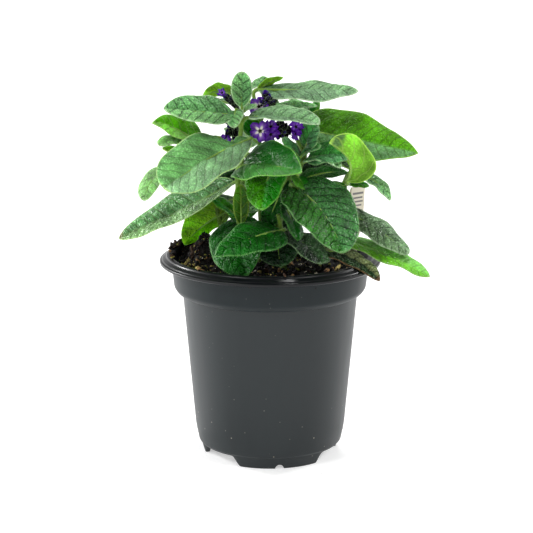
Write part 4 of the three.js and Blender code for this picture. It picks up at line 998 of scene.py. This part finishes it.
# scatters lumps, many small and few large, over the faces that look up
def crumbTree(material):
    tree, add = geometryTree("scattered crumbs", "Density", "Smallest", "Largest")
    given = add("NodeGroupInput").outputs
    upward = add("ShaderNodeSeparateXYZ", [add("GeometryNodeInputNormal")])
    isTop = add("FunctionNodeCompare", [upward.outputs[2], 0.2], operation="GREATER_THAN")
    spots = add("GeometryNodeDistributePointsOnFaces", {
        "Mesh": given["Geometry"], "Selection": isTop, "Density": given["Density"], "Seed": soilForm["seed"]})
    lump = add("GeometryNodeMeshIcoSphere", {"Radius": 1.0, "Subdivisions": 1})
    spin = add("FunctionNodeRandomValue", {"Max": (6.28, 6.28, 6.28), "Seed": 11}, data_type="FLOAT_VECTOR")
    chance = add("FunctionNodeRandomValue", {"Seed": 12}, data_type="FLOAT")
    rare = add("ShaderNodeMath", [chance, 5.0], operation="POWER")
    size = add("ShaderNodeMapRange", [rare, 0.0, 1.0, given["Smallest"], given["Largest"]])
    shape = add("FunctionNodeRandomValue", {"Min": (0.5, 0.35, 0.3), "Max": (1.5, 1.0, 0.8), "Seed": 13},
                data_type="FLOAT_VECTOR")
    scale = add("ShaderNodeVectorMath", {"Vector": shape, "Scale": size}, operation="SCALE")
    placed = add("GeometryNodeInstanceOnPoints", {
        "Points": spots.outputs["Points"], "Instance": lump, "Rotation": spin, "Scale": scale})
    draw = add("FunctionNodeRandomValue", {"Seed": 14}, data_type="FLOAT")
    dark = add("ShaderNodeMath", [draw, 1.7], operation="POWER")
    shade = add("ShaderNodeMath", [dark, 0.002], operation="ADD")
    marked = add("GeometryNodeStoreNamedAttribute", {
        "Geometry": placed, "Name": "crumbShade", "Value": shade}, data_type="FLOAT", domain="INSTANCE")
    joined = add("GeometryNodeJoinGeometry", {0: add("GeometryNodeRealizeInstances", [marked])})
    tree.links.new(given["Geometry"], joined.inputs[0])
    dressed = add("GeometryNodeSetMaterial", {"Geometry": joined, "Material": material})
    add("NodeGroupOutput", [dressed])
    return tree


soilMaterial = pottingMix()
soilPiece = meshObject("potting_mix", soilPart(), soilMaterial)
grow(soilPiece, crumbTree(soilMaterial), dict(
    Density=soilForm["crumbs"] / mm**2, Smallest=soilForm["smallest"] * mm, Largest=soilForm["largest"] * mm))
settle(soilPiece, "potting_mix", "potting_soil")
print("potting mix", len(soilPiece.data.polygons), "faces")

labelForm = dict(
    width=16,
    headHeight=21,
    shoulder=7,
    stake=5,
    top=140,
    ground=102,  # the stake narrows to its point below this
    bottom=76,
    thickness=0.8,
    at=(45.5, 7.5),  # x and y of its upper edge's middle
    turn=61,  # degrees about the vertical
    lean=6,  # and from it
    corner=1.6,
    # how far down, how wide and how tall each printed bar is
    bars=[(3.0, 12.5, 1.1), (5.4, 11.0, 0.9), (7.4, 12.0, 0.9), (9.4, 9.5, 0.9), (12.2, 12.5, 2.6),
          (15.6, 10.5, 0.8), (17.2, 12.0, 0.8)],
)


def labelPart():
    form = labelForm
    w, s, tall = form["width"] / 2, form["stake"] / 2, form["top"] - form["ground"]
    head, neck, corner = form["headHeight"], form["headHeight"] + form["shoulder"], form["corner"]
    right = [(s, -tall), (s, -neck), (w, -head)]
    turns = np.linspace(0, math.pi / 2, 6)
    right += [(w - corner * (1 - math.cos(a)), -corner * (1 - math.sin(a))) for a in turns]
    outline = [(0, form["bottom"] - form["top"])] + right + [(-x, z) for x, z in right[::-1]]
    flat = np.array(outline)
    half, n = form["thickness"] / 2, len(flat)
    front = np.c_[flat[:, 0], np.full(n, -half), flat[:, 1]]
    k = np.arange(n)
    points, ink = [front, front + [0, 2 * half, 0]], [np.zeros(2 * n)]
    faces = [k[None], (k[::-1] + n)[None], np.stack([k, k + n, (k + 1) % n + n, (k + 1) % n], -1)]
    for side in (-1, 1):
        for down, wide, high in form["bars"]:
            y, a, b = side * (half + 0.03), -wide / 2, wide / 2
            start = sum(len(p) for p in points)
            foot = -down - high
            points.append(np.array([(a, y, -down), (b, y, -down), (b, y, foot), (a, y, foot)]))
            ink.append(np.ones(4))
            faces.append(start + (np.array([[0, 3, 2, 1]]) if side < 0 else np.array([[0, 1, 2, 3]])))
    x, y, z = np.concatenate(points).T
    lean, turn = math.radians(form["lean"]), math.radians(form["turn"])
    x, z = x * math.cos(lean) + z * math.sin(lean), z * math.cos(lean) - x * math.sin(lean)
    x, y = x * math.cos(turn) - y * math.sin(turn), x * math.sin(turn) + y * math.cos(turn)
    placed = np.c_[x, y, z] + [*form["at"], form["top"]]
    return {"points": placed, "faces": faces, "fields": {"ink": np.concatenate(ink)}}


# Thin cut styrene plate, cream, with plain printed bars.
def styrenePlate():
    material, add = newMaterial("cream styrene plate")
    ink = add("ShaderNodeAttribute", attribute_name="ink").outputs["Fac"]
    place = add("ShaderNodeTexCoord").outputs["Object"]
    stain = add("ShaderNodeTexNoise", {"Vector": place, "Scale": 1000 / 8, "Detail": 3.0})
    plain = add("ShaderNodeMix", {0: stain, 6: rgba("#cfc8b4"), 7: rgba("#b5ac92")}, data_type="RGBA")
    colour = add("ShaderNodeMix", {0: ink, 6: plain, 7: rgba("#4a4642")}, data_type="RGBA")
    inputs = {"Base Color": colour, "Roughness": 0.45, "IOR": 1.55}
    add("ShaderNodeOutputMaterial", {"Surface": add("ShaderNodeBsdfPrincipled", inputs)})
    return material


labelPiece = meshObject("label_plate", labelPart(), styrenePlate(), sharpAngle=30)
settle(labelPiece, "label_plastic", "plant_label")
print("label", len(labelPiece.data.polygons), "faces")

# Each head's stalk runs from base to top, where its calyces spread to an angle. A bud row is (root,
# direction, length, radius) and an open flower row (throat, where it looks, radius, how clear its pale
# star is).
heads = {
    "top": dict(base=(-3.5, -4.5, 182.5), top=(-1.9, -7.4, 185.5), calyces=11, spread=1.65, buds=[
        ((-1.8, -7.2, 185.8), (-0.12, -0.05, 1), 7, 2),
    ], flowers={"top": [((-5.8, -9.6, 184.6), (-0.25, -0.85, 0.45), 5.1, 0.8)]}),
    "centre": dict(base=(0, 0, 168), top=(6, -5, 171.4), calyces=13, spread=1.9, buds=[], flowers={
        "centre": [
            ((-5.2, -14, 172.7), (-0.1, -0.93, 0.25), 5.4, 1),
            ((0.4, -12.3, 170.6), (0.5, -0.8, -0.25), 4.9, 0),
            ((0.4, -11, 174.6), (0.35, -0.7, 0.5), 3.8, 0.1),
        ],
        "right": [
            ((13.2, -10, 174.3), (0.55, -0.7, 0.3), 4.3, 0),
            ((13, -10.5, 170.6), (0.5, -0.75, -0.4), 3.2, 0),
        ],
    }),
    "left": dict(base=(-15.3, -12, 182.3), top=(-17.3, -11, 185), calyces=3, spread=0.7, buds=[
        ((-17.3, -11, 185), (-0.73, 0.2, 0.65), 9.2, 1.7),
        ((-17.6, -9.8, 186), (-0.2, 0.2, 1), 7.4, 1.5),
    ], flowers={"left": [((-24.4, -9.6, 191.6), (-0.45, -0.75, 0.5), 2.3, 0.1)]}),
    "low_left": dict(base=(-16.3, -11, 175), top=(-18, -11, 174.7), calyces=3, spread=1, buds=[
        ((-19.4, -10.8, 175), (-0.4, -0.15, -0.88), 7, 1.7),
        ((-17.4, -11.2, 174), (-0.06, -0.2, -0.95), 7.4, 1.6),
        ((-16.9, -10.9, 174.4), (0.3, -0.3, -0.8), 4.6, 1.3),
    ], flowers={"low_left": [((-22, -12.4, 169.4), (-0.4, -0.45, -0.8), 2.9, 0.1)]}),
}

flowerForm = dict(
    rings=16,
    tubeRings=4,
    sectors=80,
    thickness=0.3,
    tube=4.6,  # how far it runs back from the petals
    tubeRadius=0.6,
    lobes=5,
    cleft=0.62,  # how deep the petals part: 1 would be a plain disc
    dish=1.0,  # how far the rim stands before the throat
    ruffle=0.7,
    petal="#5a10a4",
    pale="#c4a2e4",
    eye="#f6f2e4",
    throat="#1c1a0a",
    back="#2c0a5c",
    calyxLength=5.6,
    calyxRadius=1.2,
    calyx="#0c0a10",
    ripeBud="#35107a",
)


# two directions across and the direction itself
def axesFor(direction):
    w = unit(np.array(direction, float))
    a = unit(np.cross(w, [0.3, 0.1, 1.0]))
    return a, np.cross(w, a), w


# violet with pale streaks, a star at the middle of a fresh flower, and the dark throat; span is 0 at the
# throat and 1 at the rim
def corollaTint(span, lobe, comb, starred, patch):
    petal, pale, eye, deep = (toLinear(flowerForm[key]) for key in ("petal", "pale", "eye", "throat"))
    streak = (np.clip(1 - span, 0, 1) * (0.6 * comb + 0.5 * lobe**4) * (0.4 + 0.8 * starred))[..., None]
    star = (np.clip((0.2 + 0.28 * lobe**2 + 0.07 * comb - span) * 8, 0, 1) * starred)[..., None]
    hole = np.clip((0.09 + 0.14 * (1 - lobe) - span) * 12, 0, 1)[..., None]
    tint = (petal * (1 - streak) + pale * streak) * patch[..., None]
    tint = tint * (1 - star) + eye * star
    return tint * (1 - hole) + deep * hole


def corollaPart(throat, look, radius, starred, seed):
    form = flowerForm
    rng = np.random.default_rng(seed)
    a, b, w = axesFor(look)
    rings, sectors, tubeRings = form["rings"], form["sectors"], form["tubeRings"]
    angle = np.linspace(0, 2 * math.pi, sectors, endpoint=False)[None]
    lobe = np.abs(np.cos(form["lobes"] / 2 * (angle + rng.uniform(0, 1.2))))
    reach = radius * (form["cleft"] + (1 - form["cleft"]) * lobe**0.45)
    reach *= 1 + 0.06 * np.sin(3 * angle + rng.uniform(0, 6)) + 0.03 * np.sin(13 * angle + rng.uniform(0, 6))
    t = np.linspace(0, 1, rings)[:, None]
    lip = form["tubeRadius"]
    r = np.concatenate([np.array([0.8, 0.95, 1, 1])[:, None] * lip + 0 * angle, lip + (reach - lip) * t])
    folds = np.sin(11 * angle + rng.uniform(0, 6)) + 0.6 * np.sin(7 * angle + rng.uniform(0, 6))
    dish = -0.6 + (form["dish"] + 0.6) * t**0.5 - 0.9 * t**3 * (1 - lobe) + form["ruffle"] * t**2 * folds
    z = np.concatenate([np.linspace(-form["tube"], -0.6, tubeRings)[:, None] + 0 * angle, dish])
    z = np.minimum(z, form["dish"] + 0.8)
    bore = np.where(np.arange(tubeRings + rings)[:, None] < tubeRings, 0.7, 1.0)

    def placed(shrink, drop):
        x, y = r * np.cos(angle) * shrink, r * np.sin(angle) * shrink
        return np.array(throat, float) + a * x[..., None] + b * y[..., None] + w * (z - drop)[..., None]

    inner, outer = placed(bore, 0), placed(1, form["thickness"])
    count = len(inner)
    up = gridFaces(count, sectors, closed=True)
    far = count * sectors
    k = np.arange(sectors)
    ahead, last = (k + 1) % sectors, (count - 1) * sectors
    rim = np.stack([k + last, ahead + last, ahead + last + far, k + last + far], -1)
    foot = np.stack([ahead, k, k + far, ahead + far], -1)

    span = np.concatenate([np.zeros((tubeRings, sectors)), t + 0 * angle])
    comb = 0.55 + 0.45 * np.sin(29 * angle + rng.uniform(0, 6))
    tint = corollaTint(span, lobe, comb, starred, 1 + 0.25 * waves(inner, 2.4, seed))
    under = toLinear(form["back"]) + 0 * tint
    return {
        "points": np.concatenate([inner.reshape(-1, 3), outer.reshape(-1, 3)]),
        "faces": [up, up[:, ::-1] + far, rim, foot],
        "fields": {"petalTint": np.concatenate([tint.reshape(-1, 3), under.reshape(-1, 3)])},
    }


def budPart(root, direction, length, radius, seed, ripe):
    a, b, w = axesFor(direction)
    root = np.array(root, float)
    sides, t = 20, np.linspace(0, 1, 14)[:, None]
    angle = np.linspace(0, 2 * math.pi, sides, endpoint=False)[None]
    swell = np.sin(math.pi * np.clip(t, 0.02, 0.985)) ** 0.55 * (0.75 + 0.35 * t)
    r = radius * swell * (1 + 0.22 * np.cos(5 * angle + 2.2 * t) * (0.4 + t))
    rings = root + a * (r * np.cos(angle))[..., None] + b * (r * np.sin(angle))[..., None]
    rings = rings + w * (length * t)[..., None]
    points, faces = cappedRings(rings, root - w * 0.05, root + w * (length + 0.05))
    along = np.r_[np.repeat(t[:, 0], sides), 0, 1]
    mix = (np.clip((along - 0.72) * 6, 0, 1) * ripe)[:, None]
    tint = toLinear(flowerForm["calyx"]) * (1 - mix) + toLinear(flowerForm["ripeBud"]) * mix
    tint = tint * (1 + 0.2 * waves(points, 1.5, seed))[:, None]
    return {"points": points, "faces": faces, "fields": {"petalTint": tint}}


# Soft thin petals and felted calyces: matt tissue with a velvet bloom that lets a little light through.
def petalTissue():
    material, add = newMaterial("violet petal tissue")
    tint = add("ShaderNodeAttribute", attribute_name="petalTint").outputs["Color"]
    place = add("ShaderNodeTexCoord").outputs["Object"]
    crinkle = add("ShaderNodeTexNoise", {"Vector": place, "Scale": 1000 / 0.9, "Detail": 3.0})
    bump = add("ShaderNodeBump", {"Height": crinkle, "Strength": 0.5, "Distance": 0.3 * mm})
    matt = add("ShaderNodeBsdfPrincipled", {
        "Base Color": tint, "Roughness": 0.5, "Normal": bump, "IOR": 1.4, "Specular IOR Level": 0.06})
    through = add("ShaderNodeBsdfTranslucent", {"Color": tint, "Normal": bump})
    add("ShaderNodeOutputMaterial", {"Surface": add("ShaderNodeMixShader", [0.2, matt, through])})
    return material


def headPart(head, seed):
    base, top = np.array(head["base"], float), np.array(head["top"], float)
    axis = unit(top - base)
    path = np.linspace(base + axis * 0.85, top + axis * 1.5, 8)
    points, faces = sweep(path, np.linspace(0.7, 2.0, 8), 14)
    tint = np.tile(toLinear(flowerForm["calyx"]), (len(points), 1))
    parts = [{"points": points, "faces": faces, "fields": {"petalTint": tint}}]
    a, b, w = axesFor(axis)
    rng = np.random.default_rng(seed)
    count = head["calyces"] * 2
    for i in range(count):
        polar, turn = head["spread"] * math.sqrt((i + 0.5) / count), 2.4 * i
        out = (a * math.cos(turn) + b * math.sin(turn)) * math.sin(polar) + w * math.cos(polar)
        size = rng.uniform(0.7, 1.0)
        length, radius = flowerForm["calyxLength"] * size, flowerForm["calyxRadius"] * size
        parts.append(budPart(top + out * 0.4, out, length, radius, seed + i, rng.uniform(0, 1) ** 4))
    for i, bud in enumerate(head["buds"]):
        parts.append(budPart(*bud, seed + 50 + i, 1))
    return gather(parts)


petalMaterial = petalTissue()
for number, (name, head) in enumerate(heads.items(), 1):
    piece = meshObject(f"flower_head_{name}_calyces", headPart(head, 500 + number), petalMaterial)
    grow(piece, hairs, hairForm["onCalyces"])
    settle(piece, "calyces", f"flower_head_{name}")
    for petals, rows in head["flowers"].items():
        part = gather([corollaPart(*row, 900 + 10 * number + i) for i, row in enumerate(rows)])
        piece = meshObject(f"open_flowers_{petals}", part, petalMaterial)
        settle(piece, "petals", f"petals_{petals}")
print("flower heads made")

# Studio: seamless white paper, pale walls, and far lamps above, at both sides and in front.
studio = dict(
    target=(-1.9, 0, 99),
    distance=1050,
    pitch=13.4,
    lens=136.2,
    sky=0.25,
    backdrop=0.75,  # white walls, brightest at the horizon
    leftWall=1.8,
    paperHalf=12000,
    paperGlow=0.7,  # the paper is lit from below
    lampWidth=10,  # degrees across, as the plant sees it
    # strength, compass direction (0 is behind the plant, 90 its right) and height in degrees
    lamps=[(1.7, 20, 72), (1.7, -62, 25), (1.5, 55, 28), (0.9, -135, 42), (0.5, 130, 45), (1.2, -66, 4)],
)


def makeSurround():
    world = bpy.data.worlds.new("studio surround")
    bpy.context.scene.world = world
    world.use_nodes = True
    world.node_tree.nodes.clear()
    add = nodeAdder(world.node_tree)
    place = add("ShaderNodeTexCoord").outputs["Generated"]
    sideways, _, upwards = add("ShaderNodeSeparateXYZ", [place]).outputs
    wall = add("ShaderNodeMapRange", [upwards, 0.08, 0.4, studio["backdrop"], 0.0])
    sky = add("ShaderNodeMath", [wall, studio["sky"]], operation="ADD")
    leftward = add("ShaderNodeMapRange", [sideways, -0.9, -0.2, studio["leftWall"], 0.0])
    low = add("ShaderNodeMapRange", [upwards, 0.1, 0.6, 1.0, 0.0])
    strength = add("ShaderNodeMath", [leftward, low, sky], operation="MULTIPLY_ADD")
    surround = add("ShaderNodeBackground", {"Color": (1, 1, 1, 1), "Strength": strength})
    add("ShaderNodeOutputWorld", [surround])


# White paper, lit from below, with a few grains of peat round the pot.
def layPaper():
    paper, add = newMaterial("white paper sweep")
    place = add("ShaderNodeTexCoord").outputs["Object"]
    cells = add("ShaderNodeTexVoronoi", {"Vector": place, "Scale": 1000 / 9})
    speck = add("ShaderNodeMapRange", [cells, 0.03, 0.06, 1.0, 0.0])
    reach = add("ShaderNodeVectorMath", [place], operation="LENGTH")
    around = add("ShaderNodeMapRange", [reach, 50 * mm, 120 * mm, 1.0, 0.0])
    chance = add("ShaderNodeSeparateXYZ", [cells.outputs["Color"]])
    chosen = add("ShaderNodeMath", [chance, 0.8], operation="GREATER_THAN")
    some = add("ShaderNodeMath", [around, chosen], operation="MULTIPLY")
    grit = add("ShaderNodeMath", [speck, some], operation="MULTIPLY")
    white = add("ShaderNodeMix", {0: grit, 6: rgba("#dadada"), 7: rgba("#6a6258")}, data_type="RGBA")
    sheet = add("ShaderNodeBsdfPrincipled", {
        "Base Color": white, "Roughness": 0.9, "Specular IOR Level": 0.1,
        "Emission Color": white, "Emission Strength": studio["paperGlow"]})
    add("ShaderNodeOutputMaterial", [sheet])
    half = studio["paperHalf"]
    corners = np.array([(-half, -half, 0), (half, -half, 0), (half, half, 0), (-half, half, 0)], float)
    sheetPart = {"points": corners, "faces": [np.array([[0, 1, 2, 3]])], "fields": {}}
    floor = meshObject("paper_floor", sheetPart, paper)


def hangLamps():
    for number, (strength, compass, height) in enumerate(studio["lamps"], 1):
        lamp = bpy.data.lights.new(f"lamp {number}", "SUN")
        lamp.energy, lamp.angle = strength, math.radians(studio["lampWidth"])
        lampObject = bpy.data.objects.new(f"lamp {number}", lamp)
        lampObject.rotation_euler = (math.radians(height - 90), 0, math.radians(-compass))
        bpy.context.scene.collection.objects.link(lampObject)


def placeCamera():
    scene = bpy.context.scene
    camera = bpy.data.objects.new("camera", bpy.data.cameras.new("camera"))
    camera.data.sensor_width, camera.data.lens, camera.data.clip_end = 36, studio["lens"], 50
    pitch = math.radians(studio["pitch"])
    back = Vector((0, -math.cos(pitch), math.sin(pitch)))
    camera.location = (Vector(studio["target"]) + back * studio["distance"]) * mm
    camera.rotation_mode = "QUATERNION"
    camera.rotation_quaternion = (-back).to_track_quat("-Z", "Y")
    scene.collection.objects.link(camera)
    scene.camera = camera
    scene.view_settings.view_transform = "Standard"


makeSurround()
layPaper()
hangLamps()
placeCamera()
print("studio made")

print("scene ready")
